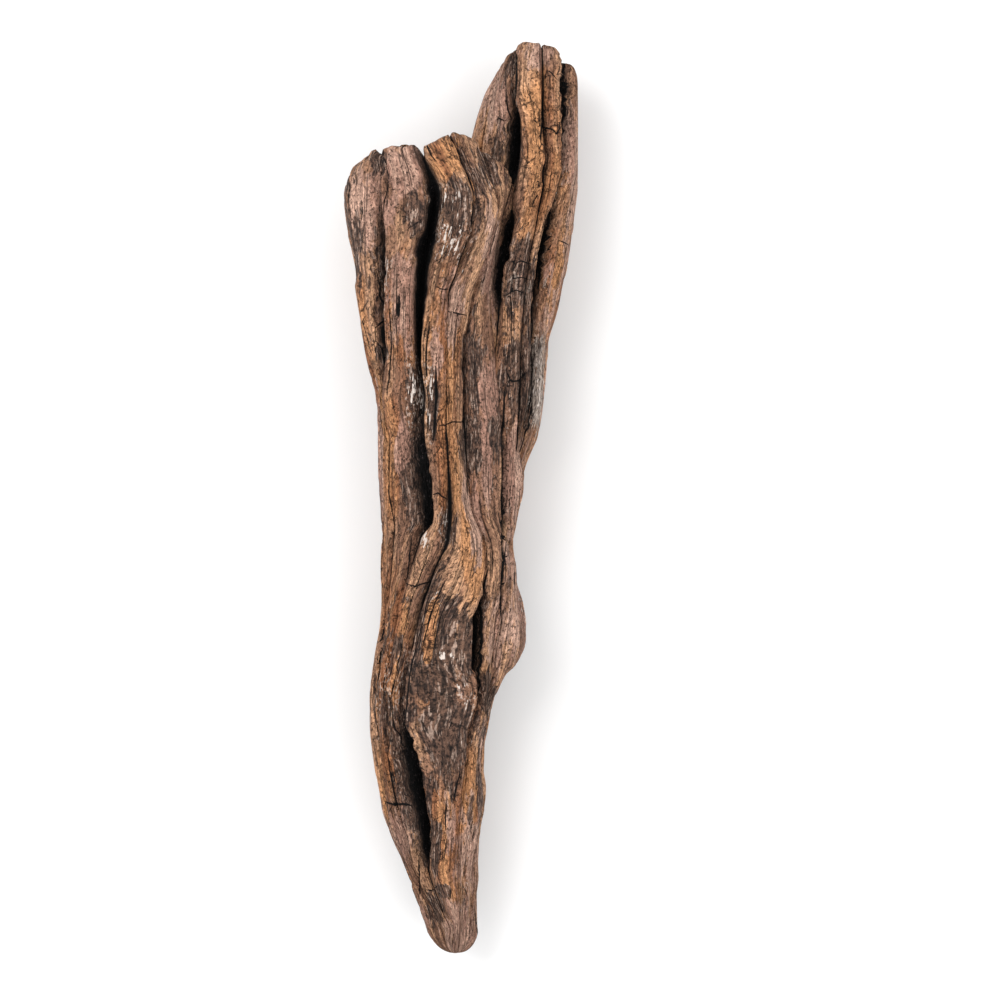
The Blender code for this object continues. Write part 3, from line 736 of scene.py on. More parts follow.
def stain_levels(
    x: np.ndarray, y: np.ndarray, grain: np.ndarray, upward: np.ndarray, seed: int
) -> dict[Stain, np.ndarray]:
    """Works out how stained the wood is: by patches on the upper side, and by chance elsewhere.

    Args:
        x: Where the points are across the wood.
        y: Where they are along it.
        grain: Their place in the grain.
        upward: 1 on the upper side and 0 below.
        seed: Another seed gives other chance stains.

    Returns:
        Each stain's level, which is above 0 where the wood has it.
    """
    levels = {}
    for stain in Stain:
        own_seed = seed + stain.value
        jag = grain_noise(grain, JAG_SIZE, own_seed + Layer.JAGS)
        jag = jag + SMALL_JAG * grain_noise(grain, SMALL_JAG_SIZE, own_seed + Layer.SMALL_JAGS)
        chance = CHANCE[stain] + CHANCE_SWING * grain_noise(grain, CHANCE_SIZE, own_seed + Layer.STAINS)
        placed = np.full(x.shape, -LEVEL_LIMIT)
        for patch in PATCHES[stain]:
            placed = np.maximum(placed, patch.level(x, y))
        placed = np.maximum(placed, chance - CHANCE_HELD)
        level = chance + (placed - chance) * upward + JAG * jag
        levels[stain] = np.clip(level, -LEVEL_LIMIT, LEVEL_LIMIT)
    sound = np.maximum(levels[Stain.BARE], levels[Stain.WARM])
    levels[Stain.CHAR] = levels[Stain.CHAR] - SOUND_WINS * np.clip(sound - SOUND_FROM, 0, 1)
    return levels


def stain_traits(levels: dict[Stain, np.ndarray], tone: np.ndarray) -> dict[str, np.ndarray]:
    """Packs the stains' levels, and a strand's own tone, in threes as the mesh carries them."""
    return {
        "stain": np.stack([levels[Stain.CHAR], levels[Stain.BARE], levels[Stain.WARM]], -1),
        "fleck": np.stack([levels[Stain.FLECK], levels[Stain.SILVER], tone], -1),
    }


def crack_lines(x: np.ndarray, y: np.ndarray, upward: np.ndarray) -> tuple[np.ndarray, np.ndarray]:
    """Measures how far points lie from the nearest of the thin cracks.

    Args:
        x: Where the points are across the wood.
        y: Where they are along it.
        upward: 1 on the upper side and 0 below.

    Returns:
        The distance, which is negative on one side, and the crack's width there.
    """
    best, widest = np.full(x.shape, np.inf), np.zeros(x.shape)
    for crack in CRACKS:
        signed, width = crack.near(x, y)
        closer = np.abs(signed) < np.abs(best)
        best, widest = np.where(closer, signed, best), np.where(closer, width, widest)
    shown = (upward > 0.5) & (np.abs(best) < CRACK_REACH)
    return np.clip(best, -CRACK_REACH, CRACK_REACH), widest * shown


# How likely each stain is where no patch is placed: below 0 it is rare.
CHANCE = {Stain.CHAR: -0.45, Stain.BARE: -0.35, Stain.WARM: -0.1, Stain.FLECK: -0.9, Stain.SILVER: -0.9}

# The trunk's edges, seen from above, and its highest and lowest lines, seen from the side.
TRUNK_LEFT = [
    (125, -35), (118, -36.8), (114.5, -38.8), (110, -40.3), (106, -41.1), (94, -40.6), (80, -38.3),
    (66, -37), (55, -35.2), (45, -32.9), (36, -30), (27, -29.5), (0, -28.3), (-21, -27.4), (-35, -26.9),
    (-44, -27.9), (-56, -29.6), (-67, -30.6), (-81, -30.8), (-91, -30.1), (-102, -28.4), (-111, -26.7),
    (-118, -24.2), (-126, -20.4), (-133, -17.8), (-140, -15.5), (-149, -12.7), (-154, -11.2),
    (-160, -10),
]
TRUNK_RIGHT = [
    (125, 14), (118, 17.5), (112, 20.2), (107, 21), (100, 18.2), (94, 15.3), (87, 13.4), (80, 11.8),
    (73, 11.5), (66, 12), (59, 12.6), (34, 15), (17, 20.4), (8, 22), (2, 21.5), (-4, 20), (-11, 18.6),
    (-17, 17.3), (-28, 18.3), (-37, 20.5), (-44, 22), (-51, 22.2), (-55, 20.8), (-58.5, 18.9),
    (-61, 15.6), (-64, 13.6), (-70, 11.4), (-81, 8.5), (-88, 7), (-95, 6.6), (-102, 7.5), (-109, 7.6),
    (-116, 6.8), (-126, 6.4), (-133, 6.7), (-140, 5.9), (-154, 6), (-160, 5.6),
]
TRUNK_TOP = [
    (125, 49), (115, 53.5), (95, 57), (70, 58), (35, 56.5), (0, 54.5), (-35, 52.5), (-70, 49.5),
    (-95, 45), (-120, 38.5), (-135, 33.5), (-148, 28.5), (-160, 25),
]
TRUNK_UNDER = [
    (125, 16), (112, 11), (95, 6.5), (70, 3.5), (35, 1.6), (0, 1), (-35, 1.8), (-70, 2.6), (-95, 2),
    (-110, 2.4), (-125, 4), (-140, 7), (-150, 10), (-160, 13),
]

# The limb's. It is the lower of the two, and sinks into the trunk's side.
LIMB_LEFT = [
    (160, 19), (156.5, 16.5), (153, 14.4), (149, 12.7), (143, 9.6), (137, 7), (130, 4.6), (123, 2.9),
    (116, 2.8), (104, 2.8), (70, 2), (35, -1), (10, -1), (-28, 4),
]
LIMB_RIGHT = [
    (160, 34), (156, 36), (152, 38.4), (147, 40.5), (141, 41), (132, 41), (118, 40.3), (104, 38.9),
    (90, 37.8), (83, 36.8), (73, 34.4), (66, 32.9), (54, 30), (45, 29.4), (36, 29), (27, 27.8), (20, 26),
    (16, 24.2), (11, 22), (3, 20), (-28, 14),
]
LIMB_TOP = [
    (160, 31), (157, 34.5), (150, 38), (140, 40.5), (120, 42.5), (95, 43.5), (70, 44.5), (35, 45.5),
    (10, 42), (-15, 34), (-28, 28),
]
LIMB_UNDER = [
    (160, 16), (157, 12), (150, 8), (140, 5.4), (120, 3.4), (95, 2.2), (70, 2.2), (35, 3.5), (10, 6),
    (-28, 16),
]

# The trunk's grooves on the upper side, from the right edge to the left.
VALLEY_EDGE = Groove([
    (109, 18.2, 0.6, 3, 3), (94, 13.5, 1, 2.5, 2.5), (83, 11, 1, 2.5, 2.5), (69, 10.2, 1, 2.5, 2.5),
    (52, 11.4, 2, 2, 2.5), (34, 13.5, 3.2, 1.8, 2.2), (17, 14, 3, 1.6, 2), (-7, 14, 2.8, 1.4, 1.6),
    (-25, 14.4, 2.8, 1.4, 1.6), (-41, 13.5, 1.8, 1.4, 1.6), (-58, 11.2, 1.5, 2.5, 2.5),
    (-70, 8, 2, 3, 2.5), (-88, 5.6, 2.5, 3, 2), (-105, 5.3, 2.5, 2.5, 2), (-123, 3.5, 1.2, 2, 2),
    (-140, 2.8, 0.8, 2, 2), (-151, 2.4, 0.4, 2, 2),
])
MIDDLE_CRACK = Groove([
    (124, 4.6, 2.5, 2, 2), (112, 9.8, 2, 1.8, 1.8), (104, 12, 1.6, 1.8, 1.8), (90, 9.2, 1, 1.8, 1.8),
    (77, 5.8, 1.4, 1.4, 1.4), (71, 3.6, 2.2, 1.3, 1.3), (63, 2.1, 2.6, 1.3, 1.3), (53, 1, 2.8, 1.3, 1.3),
    (39, 0.8, 3, 1.3, 1.3), (28, 1.3, 2.8, 1.6, 1.5), (18, 1.8, 2.6, 3.5, 2.2), (8, 2.3, 1.6, 2.5, 2),
    (-4, 3.6, 0.3, 2, 2), (-14, 7.6, 0.6, 1.4, 1.4), (-24, 8.6, 1.2, 1.2, 1.2), (-31, 8.2, 2, 1.3, 1.4),
    (-36, 7, 4, 1.8, 2.2), (-42, 6, 8, 2.2, 2.8), (-53, 5.4, 9.5, 2.2, 2.6), (-65, 5, 8, 2, 2.4),
    (-74, 4.2, 2.5, 2, 2.4), (-82, 2, 2, 1.6, 1.6), (-91, 1.3, 1.8, 2, 2), (-105, 0, 1.5, 2, 2),
    (-123, -1, 1.2, 2, 2), (-151, -0.4, 0.5, 2, 2),
])
LONG_CRACK = Groove([
    (125, -3, 3, 1.6, 2), (118, 0, 2.4, 1.6, 2), (111, 3.4, 2, 1.8, 2), (104, 5.2, 1.6, 1.8, 2),
    (96, 4.6, 2, 1.5, 1.5), (87, 1.6, 2.8, 1.2, 1.3), (78, -1.6, 2.6, 1.2, 1.3),
    (69, -4.2, 1.6, 1.2, 1.3), (55, -4.9, 0.5, 1.5, 1.5), (33, -4.9, 1.4, 1.4, 1.4),
    (14, -4.6, 2.2, 1.3, 1.3), (-3, -3.9, 3.4, 1.4, 1.5), (-14, -4.6, 3, 1.5, 1.8),
    (-21, -7.4, 2.4, 1.6, 1.6), (-28, -10.6, 2.6, 1.6, 1.6), (-40, -14.4, 3.4, 1.6, 1.8),
    (-52, -16.8, 3.4, 1.6, 1.8), (-64, -18.9, 3.2, 1.6, 2), (-77, -19.4, 5, 1.8, 2.4),
    (-84, -17.9, 9, 2, 6), (-91, -16.6, 11.5, 2, 7.5), (-98, -15.3, 12, 2, 6.5),
    (-107, -13.4, 11.5, 2, 4.6), (-118, -12.3, 10.5, 2, 3.4), (-125, -11.8, 7, 2, 3),
    (-131, -11.2, 2, 2, 2.4), (-137, -9.4, 1.2, 2, 2), (-151, -4.2, 0.6, 2, 2),
])
BLACK_SPLIT = Groove([
    (123, -15.4, 4, 1.8, 2.4), (117, -13.3, 5, 1.8, 2.4), (110, -9.8, 6.5, 1.6, 2.4),
    (104, -8.4, 10, 1.6, 2.6), (98, -8.8, 11.5, 1.6, 2.8), (91, -9.9, 12, 1.6, 3.4),
    (85, -11.4, 12, 1.7, 3), (80, -12.8, 12, 1.7, 2.4), (73, -13.8, 12, 1.6, 2),
    (62, -14.4, 10, 1.4, 1.8), (55, -14.6, 8, 1.3, 1.6), (45, -14.3, 6, 1.4, 1.8),
    (34, -13.4, 4.5, 2.4, 2.6), (24, -13.6, 5, 2, 5), (17, -13, 7.5, 2, 7), (6, -11.7, 9.5, 2, 7),
    (-1, -11, 10, 2, 5.4), (-8, -11.2, 8.5, 2, 4.2), (-13, -14, 3, 2.4, 2.4), (-29, -19, 1.6, 1.5, 1.5),
    (-42, -21.7, 1.4, 1.5, 1.5), (-56, -23.8, 1.4, 1.5, 1.5), (-70, -25.2, 1.2, 1.6, 1.6),
    (-84, -25.2, 1.2, 1.8, 1.8), (-98, -23.6, 1.2, 1.8, 1.8), (-112, -20.2, 1.6, 1.8, 1.8),
    (-126, -16, 2, 1.8, 1.8), (-140, -11.2, 1.6, 1.6, 1.6), (-151, -6.5, 0.8, 1.6, 1.6),
])
LEFT_SPLIT = Groove([
    (122, -27, 3, 1.4, 2.2), (104, -26.6, 3.4, 1.4, 2.6), (87, -26.2, 8, 1.8, 4),
    (69, -26.2, 11, 2, 4.2), (52, -25.5, 10.5, 2, 3.8), (41, -25.3, 7, 2, 3), (34, -25.3, 3, 1.8, 2),
    (17, -24.2, 1.2, 1.6, 1.6), (-7, -23.3, 1.2, 1.5, 1.5), (-25, -23.8, 1.2, 1.5, 1.5),
    (-45, -26.2, 1, 1.5, 1.5), (-70, -28.9, 1, 1.5, 1.5), (-102, -26.4, 1, 1.6, 1.6),
    (-126, -19, 1, 1.6, 1.6), (-145, -11.5, 0.6, 1.4, 1.4), (-153, -9.6, 0.4, 1.2, 1.2),
    (-160, -8.3, 0.3, 1, 1),
])
LEFT_EDGE = Groove([
    (113, -37.8, 1.4, 2, 2), (104, -37.2, 2, 2, 2), (87, -35.6, 3, 2, 2), (69, -34.3, 3, 2, 2),
    (52, -32.3, 2.4, 2, 2), (40, -29.6, 1.6, 2, 2), (17, -27.8, 1, 2, 2), (-30, -26.2, 1, 2, 2),
    (-39, -26.2, 2, 2.4, 2.4), (-46, -27.2, 4.5, 2.4, 2.4), (-53, -28.6, 3.4, 2.4, 2.4),
    (-62, -29.6, 1.6, 2, 2), (-90, -29.2, 1.2, 2, 2), (-120, -23, 1.2, 2, 2), (-150, -12, 0.6, 1.5, 1.5),
    (-160, -9.7, 0.3, 1, 1),
])

# The limb's, from the right edge to the left.
OUTER_VALLEY = Groove([
    (155, 33.2, 5, 2, 2.4), (150, 34.9, 9, 2.8, 2.4), (143, 34.9, 10.5, 3.2, 2.4), (136, 35, 9.5, 3, 2.2),
    (129, 34.9, 6, 2.4, 2.2), (118, 34.2, 3, 2.2, 2.2), (105, 31.8, 3, 2.2, 2.2), (97, 29.8, 6, 2.2, 2.6),
    (90, 28.2, 8.5, 2.4, 2.8), (80, 26.6, 8.5, 2.2, 2.6), (66, 24.7, 5, 2, 2.2), (55, 23.6, 3, 2, 2),
    (34, 22.3, 3, 2, 2), (20, 20.3, 2, 2, 2), (-28, 11, 0.5, 2, 2),
])
LIMB_CRACK = Groove([
    (159, 28.4, 1.8, 1.2, 1.2), (140, 28.5, 2.6, 1.2, 1.2), (129, 28.7, 3.2, 1.3, 1.4),
    (118, 29, 3.4, 1.3, 1.6), (108, 28, 3, 1.4, 1.6), (94, 25.6, 1.8, 1.6, 1.8),
    (83, 23.8, 1.4, 1.6, 1.8), (55, 21, 1.4, 1.6, 1.6), (34, 20, 2.4, 1.8, 1.8), (-28, 10, 0.5, 2, 2),
])
LIMB_HOLLOW = Groove([
    (158, 20.3, 1.4, 1.2, 1.2), (150, 19, 2.6, 1.2, 1.2), (143, 18.6, 3, 1.2, 1.3),
    (138, 18.8, 4, 1.4, 1.8), (132, 19.2, 8, 1.8, 3), (124, 19, 10.5, 2, 4.2), (116, 18.5, 10, 2, 4.2),
    (110, 17.8, 5, 2, 3), (104, 17.4, 3, 2, 3), (98, 17.4, 6, 2.2, 4), (93, 16.6, 10, 2.2, 4.4),
    (86, 15.2, 11, 2.2, 4.4), (78, 13.4, 10.5, 2.2, 4), (71, 12.8, 8, 2, 3), (65, 13, 3, 2, 2.4),
    (34, 10, 1, 2, 2), (-28, 8.4, 0.5, 2, 2),
])
LIMB_EDGE = Groove([
    (156, 17.6, 1, 1.6, 1.6), (143, 12.4, 1.6, 1.6, 1.6), (130, 9, 1.8, 1.6, 1.6),
    (117, 6.8, 1.4, 1.6, 1.6), (104, 6, 1, 1.6, 1.6), (69, 5, 1, 1.6, 1.6), (-28, 6, 0.5, 2, 2),
])

TRUNK = Limb(
    left=TRUNK_LEFT,
    right=TRUNK_RIGHT,
    top=TRUNK_TOP,
    under=TRUNK_UNDER,
    grooves=[
        VALLEY_EDGE, MIDDLE_CRACK, LONG_CRACK, BLACK_SPLIT, LEFT_SPLIT, LEFT_EDGE,
        UnderGroove(197, 3.0, 2.2, 11), UnderGroove(221, 6.0, 3.0, 12, hollow=(-62, 5, 4, 24)),
        UnderGroove(252, 3.5, 2.4, 13), UnderGroove(276, 6.5, 3.0, 14, hollow=(28, 7, 5, 26)),
        UnderGroove(309, 3.5, 2.4, 15), UnderGroove(334, 5.0, 2.8, 16, hollow=(-78, 4, 3, 20)),
    ],
    end_line=[
        (0, 109.5), (0.25, 112.5), (0.6, 116.5), (0.95, 121), (1, 119.5), (1.12, 123.8), (1.5, 126.4),
        (1.9, 127), (2, 124.8), (2.1, 126.4), (2.4, 125), (2.7, 122.6), (2.92, 121.2), (3, 118),
        (3.1, 122.6), (3.4, 122), (3.65, 122.6), (3.9, 121), (4, 116.5), (4.1, 119), (4.3, 121.9),
        (4.5, 119.6), (4.95, 117.8), (5, 116.5), (5.4, 113), (6, 105), (6.5, 113), (7, 110), (7.7, 113),
        (7.8, 124.2), (7.95, 124), (8, 112), (8.42, 111), (8.5, 123), (8.66, 123), (8.75, 113), (9, 106),
        (9.5, 114), (10, 107), (10.5, 114), (11, 104), (11.5, 110),
    ],
    end_middle=109,
    tip=-160,
    tip_rounding=7.5,
    end_rounding=2.0,
    ridge=1.2,
    seed=3,
    pads=[(-19, 78, 9, 13), (-10, -100, 4.5, 12)],
    cracks=GrainCracks(170, 51, widest=0.5),
    column_gap=0.55,
    rings=212,
    cap_rings=24,
)
LIMB = Limb(
    left=LIMB_LEFT,
    right=LIMB_RIGHT,
    top=LIMB_TOP,
    under=LIMB_UNDER,
    grooves=[
        OUTER_VALLEY, LIMB_CRACK, LIMB_HOLLOW, LIMB_EDGE,
        UnderGroove(205, 3.5, 2.4, 21), UnderGroove(238, 5.5, 2.8, 22, hollow=(118, 4, 3, 16)),
        UnderGroove(275, 3.0, 2.4, 23), UnderGroove(312, 5.5, 2.8, 24, hollow=(52, 3, 3, 18)),
        UnderGroove(345, 3.0, 2.2, 25),
    ],
    end_line=[
        (0, 152), (0.1, 157.2), (0.6, 158.5), (0.95, 159), (1, 157.6), (1.1, 159.6), (1.6, 160.1),
        (1.9, 159.4), (2, 157.8), (2.3, 157.4), (2.95, 155.6), (3, 154.8), (3.3, 152.8), (3.8, 149.5),
        (4, 147), (4.5, 151), (5, 148), (5.5, 153), (6, 149), (6.5, 152.5), (7, 148), (7.5, 152),
        (8, 147), (8.3, 147.8), (8.6, 151.4), (8.88, 153.6),
    ],
    end_middle=153,
    tip=-28,
    tip_rounding=12,
    end_rounding=2.0,
    ridge=0.9,
    seed=5,
    pads=[(24, 96, 6, 13)],
    cracks=GrainCracks(60, 61, widest=0.35),
    column_gap=0.65,
    rings=140,
    cap_rings=18,
)

# The stained patches of the upper side, each list from the limb's end down to the tip.
PATCHES = {
    Stain.CHAR: [
        Patch(17.8, 123.7, 3.1, 12.6), Patch(-30.8, 118.8, 3.8, 2.8),
        Patch(-29, 116.5, 4, 5, strength=0.9), Patch(9.1, 114.3, 7, 9.1, strength=0.5),
        Patch(0, 101.7, 7.3, 10.5), Patch(-14.7, 98.5, 4.9, 8.4), Patch(-37, 90, 4, 28, strength=0.25),
        Patch(-37.1, 87, 1.8, 14), Patch(-27.6, 85.9, 1.8, 3.8), Patch(19.9, 78.2, 5.6, 19.2),
        Patch(-28.7, 66.7, 2.8, 5.9), Patch(-28, 50.2, 2.4, 3.8), Patch(5.6, 44, 3.4, 18, strength=0.7),
        Patch(21.3, 43.2, 7.3, 18.2), Patch(-16.1, 36.2, 3.8, 11.9), Patch(-9.8, 32.7, 2.4, 13.3),
        Patch(12, 24, 2.4, 14, strength=0.5), Patch(3.6, 18, 4.2, 11, strength=1.6),
        Patch(-16, 8, 5, 21, strength=1.4), Patch(-3.8, -8.9, 3.1, 5.9, strength=0.7),
        Patch(-27.6, -49.5, 1.4, 9.8), Patch(1, -52, 4, 16, strength=1.4),
        Patch(-8.5, -53, 9.5, 24, strength=1.6), Patch(-25, -63, 7, 17, strength=0.25),
        Patch(9.4, -76, 2.6, 18, strength=1.9), Patch(-5.9, -79, 9.8, 21, strength=1.2),
        Patch(-22.4, -90.5, 4.2, 11.2), Patch(6.3, -96.1, 2.1, 20.3, strength=1.4),
        Patch(-17.8, -100, 5.4, 22, lean=-0.15, strength=1.6), Patch(-3.1, -102, 1.8, 8.4),
        Patch(-10.8, -110.8, 4.2, 18.2), Patch(2.4, -111.5, 1.9, 9, strength=2),
        Patch(-8.8, -119, 3, 11, strength=1.4), Patch(-6.6, -137, 4.5, 2.4, strength=1.4),
        Patch(-9.1, -143.3, 4.5, 5.6, strength=0.6),
    ],
    Stain.BARE: [
        Patch(27.3, 155.2, 7, 5.6), Patch(12, 139, 5, 17, strength=0.8), Patch(38.5, 115, 2.4, 29.7),
        Patch(-20.3, 113.9, 7.3, 11.2, strength=1.4), Patch(-33.6, 102.7, 6.6, 18.2, strength=0.5),
        Patch(-24.5, 99.2, 3.1, 9.8), Patch(10.1, 81.7, 3.1, 20.3), Patch(-20, 70, 5, 19, strength=1.2),
        Patch(-3.5, 66, 5, 13, strength=0.7), Patch(-8.2, 50, 3, 10, strength=0.8),
        Patch(-20.6, 18, 2, 11, strength=1.4), Patch(8.8, 12, 1.9, 17, strength=1.6),
        Patch(18.9, 6.5, 4.2, 21), Patch(5, -12, 3, 16, strength=0.8), Patch(17.5, -21.5, 3.1, 15.7),
        Patch(15.4, -46, 6.3, 14.7, strength=0.6), Patch(6.5, -93, 2.6, 16, strength=0.8),
        Patch(-21, -117.8, 4.9, 12.6, strength=0.7), Patch(2, -122, 6.5, 24, strength=0.6),
        Patch(-0.7, -149.3, 7.7, 14, strength=0.9),
    ],
    Stain.WARM: [
        Patch(27.6, 130.7, 7.7, 21.7), Patch(-5.2, 117.4, 5.6, 8.8, strength=1.4),
        Patch(31.5, 76.5, 3.5, 21, strength=0.7), Patch(-21, 64.2, 6.3, 22.4, strength=1.6),
        Patch(-5.6, 53.7, 6.3, 27.3), Patch(-4.9, 20.5, 4.2, 22.4, strength=1.4),
        Patch(-24.5, 13.5, 4.2, 23.1, strength=1.8), Patch(4.2, -16, 5.2, 22, strength=2),
        Patch(-21.7, -40.8, 4.9, 12.6), Patch(-10.8, -47.5, 3.6, 17, lean=0.06, strength=2),
        Patch(-25, -62, 6, 17, strength=0.6), Patch(-11.9, -70.5, 4.2, 4.9, strength=0.7),
        Patch(8.8, -75.8, 4.2, 16.1, strength=0.2), Patch(-25.9, -93.3, 4.2, 14.7),
        Patch(-5.6, -109, 2.1, 15.4, strength=1.4),
    ],
    Stain.FLECK: [
        Patch(-3.5, 102.7, 4.9, 4.9, strength=0.7), Patch(-3.5, 88, 6.4, 9, strength=1.3),
        Patch(-16.1, 36.2, 3.1, 10.5, strength=1.1), Patch(26.9, 36.2, 2.1, 14),
        Patch(-10.6, 34.5, 1.8, 12.6, strength=1.1), Patch(-5.6, -9.3, 1.8, 4.2),
        Patch(-12.9, -14.9, 2.6, 4.5, strength=2.4), Patch(-8.8, -34.5, 2.4, 2.4, strength=1.3),
        Patch(-5.4, -54.6, 3, 2.6, strength=2.4), Patch(-25.9, -67, 4.9, 8.4, strength=0.6),
    ],
    Stain.SILVER: [
        Patch(27.3, 38, 3.1, 21.7),
    ],
}

# Each crack cuts into the surface, and the material draws it as a black line of painted shade.
CRACKS = [
    # Across the grain, from the limb's end down to the tip.
    Crack([(28.6, 149.5), (31, 149), (33.5, 146)], 0.35),
    Crack([(12.6, 132.8), (14.8, 131.4)], 0.45),
    Crack([(24.9, 131.8), (27, 130.5), (29, 129.3), (31.5, 129), (34, 126.3)], 0.55),
    Crack([(34, 90), (36, 89.2), (37.4, 88.6)], 0.4),
    Crack([(16.5, 82.2), (20.6, 82.6), (24.6, 81.4)], 0.4),
    Crack([(18, 76.6), (21, 76.8), (23.5, 76.2)], 0.35),
    Crack([(-8.8, 73.2), (-6.5, 72.2), (-4.2, 72.3)], 0.35),
    Crack([(-4.6, 64.6), (-1.5, 64.1), (2.1, 63.3)], 0.4),
    Crack([(-8.4, 25.2), (-5.5, 25.4), (-3, 26.5), (0, 26.4), (3, 27.5)], 0.4),
    Crack([(-10, 1.2), (-8, 2), (-6.5, 0.6), (-4.9, -0.2)], 0.5),
    Crack([(-19.3, -29.4), (-16.6, -30.6), (-14, -29.6), (-10.5, -28.8)], 0.5),
    Crack([(-27.4, -105.8), (-24, -106.9), (-21, -106.4), (-17.6, -106.9)], 0.8),
    Crack([(-13, -136.8), (-10.5, -137.2), (-8.5, -135.4)], 0.5),
    # Under the scales of the limb's foot.
    Crack([(15.4, 44.8), (17.4, 40.6), (20.2, 41), (23, 44.2)], 0.5),
    Crack([(15.2, 70.4), (18.4, 72.6), (22, 71.4)], 0.4),
    # Along the grain.
    Crack([(-22.2, 80), (-22.6, 62), (-21.9, 46)], 0.25),
    Crack([(-25.2, 24.3), (-25.6, 2.3), (-23.5, -10), (-24.6, -22), (-25.6, -36)], 0.35),
    Crack([(-17.2, -12.8), (-18.5, -22), (-19.3, -28.6)], 0.5),
    Crack([(2.1, 7.5), (2.3, 0.9)], 0.45),
    Crack([(15.2, 40), (14.8, 30), (14.7, 10), (14.8, -10), (14.8, -22), (14.4, -32), (13.9, -41.5)], 1.1),
    Crack([(18.9, 156), (18.9, 147), (18.6, 138)], 0.7),
    Crack([(28.4, 159), (28.5, 140), (27.6, 122), (26.6, 104)], 0.45),
    Crack([(35.8, 155), (36.2, 149), (36.3, 141), (36, 133), (35.4, 124)], 1.2),
    Crack([(31.5, 101), (30.4, 96), (28.8, 89), (27.4, 80), (26.9, 72)], 1.3),
    Crack([(-8.7, 46), (-8.6, 36), (-9.2, 26), (-9.8, 19.5)], 1.0),
    Crack([(20.6, -1), (21, -14), (20.6, -26), (20.9, -38)], 0.5),
    Crack([(6.8, -35), (7.2, -46), (6.9, -58), (6.2, -68)], 1.3),
    Crack([(-27.3, -43), (-28.8, -55), (-29.4, -63.5)], 0.6),
    Crack([(-15, -126), (-15.4, -133), (-15, -139)], 0.6),
]


@dataclass(frozen=True)
class Signal:
    """A value, vector or colour in a shader graph, which Python's operators can be used on."""

    graph: "Graph"
    socket: bpy.types.NodeSocket

    def __add__(self, other: "Operand") -> "Signal":
        """Adds."""
        return self.graph.combine("ADD", self, other)

    __radd__ = __add__

    def __mul__(self, other: "Operand") -> "Signal":
        """Multiplies."""
        return self.graph.combine("MULTIPLY", self, other)

    __rmul__ = __mul__

    def __sub__(self, other: "Operand") -> "Signal":
        """Subtracts other from this."""
        return self.graph.combine("SUBTRACT", self, other)

    def __rsub__(self, other: "Operand") -> "Signal":
        """Subtracts this from other."""
        return self.graph.combine("SUBTRACT", other, self)

    def __abs__(self) -> "Signal":
        """Drops the sign."""
        return self.graph.combine("ABSOLUTE", self)

    def larger(self, other: "Operand") -> "Signal":
        """Gives the larger of the two."""
        return self.graph.combine("MAXIMUM", self, other)

    def smaller(self, other: "Operand") -> "Signal":
        """Gives the smaller of the two."""
        return self.graph.combine("MINIMUM", self, other)

    def ease(self, low: "Operand", high: "Operand") -> "Signal":
        """Eases from 0 at low to 1 at high. They may be the other way round."""
        return self.graph.node(
            "ShaderNodeMapRange",
            {"interpolation_type": "SMOOTHSTEP"},
            {"Value": self, "From Min": low, "From Max": high},
        )

    def blend(self, first: "Operand", second: "Operand") -> "Signal":
        """Mixes two colours, or two numbers, with this as the share of the second."""
        if any(isinstance(x, (int, float)) for x in (first, second)):
            return first + self * (second - first)
        settings = {"data_type": "RGBA", "clamp_factor": True}
        return self.graph.node("ShaderNodeMix", settings, {0: self, 6: first, 7: second}, 2)


Operand = Signal | float | tuple[float, ...]


@dataclass(frozen=True)
class Graph:
    """The nodes of one material."""

    tree: bpy.types.NodeTree

    def node(self, kind: str, settings: dict, inputs: dict, output: int | str = 0) -> Signal:
        """Adds a node.

        Args:
            kind: The node's type.
            settings: What to set on the node itself, before its sockets.
            inputs: A number, a tuple or a Signal for each socket, by its name or number.
            output: Which output to give back, by its name or number.

        Returns:
            That output.
        """
        made = self.tree.nodes.new(kind)
        for name, value in settings.items():
            setattr(made, name, value)
        for name, value in inputs.items():
            socket = made.inputs[name]
            if isinstance(value, Signal):
                self.tree.links.new(value.socket, socket)
            elif isinstance(value, tuple) and socket.type == "RGBA":
                socket.default_value = (*value[:3], 1.0)
            else:
                socket.default_value = value
        return Signal(self, made.outputs[output])

    def combine(self, operation: str, *operands: Operand) -> Signal:
        """Does arithmetic, with a Math node on numbers and a Vector Math node on anything else.

        Args:
            operation: The node's operation.
            *operands: One or two values. A number beside a vector stands for all three of its parts.

        Returns:
            The result.
        """
        flat = [x for x in operands if isinstance(x, (int, float)) or getattr(x, "socket", None) is not None]
        values = all(isinstance(x, (int, float)) or x.socket.type == "VALUE" for x in flat)
        if values and len(flat) == len(operands):
            return self.node("ShaderNodeMath", {"operation": operation}, dict(enumerate(operands)))
        spread = [(x, x, x) if isinstance(x, (int, float)) else x for x in operands]
        return self.node("ShaderNodeVectorMath", {"operation": operation}, dict(enumerate(spread)))

    def trait(self, name: str) -> tuple[Signal, Signal, Signal]:
        """Reads the three numbers that the mesh carries under a name."""
        vector = self.node("ShaderNodeAttribute", {"attribute_name": name}, {}, "Vector")
        split = self.tree.nodes.new("ShaderNodeSeparateXYZ")
        self.tree.links.new(vector.socket, split.inputs[0])
        return tuple(Signal(self, socket) for socket in split.outputs)


def linear(red: float, green: float, blue: float) -> Triple:
    """Turns a colour's parts, from 0 to 255 as a screen has them, into the renderer's own."""
    parts = (part / 255 for part in (red, green, blue))
    return tuple(p / 12.92 if p <= 0.04045 else ((p + 0.055) / 1.055) ** 2.4 for p in parts)


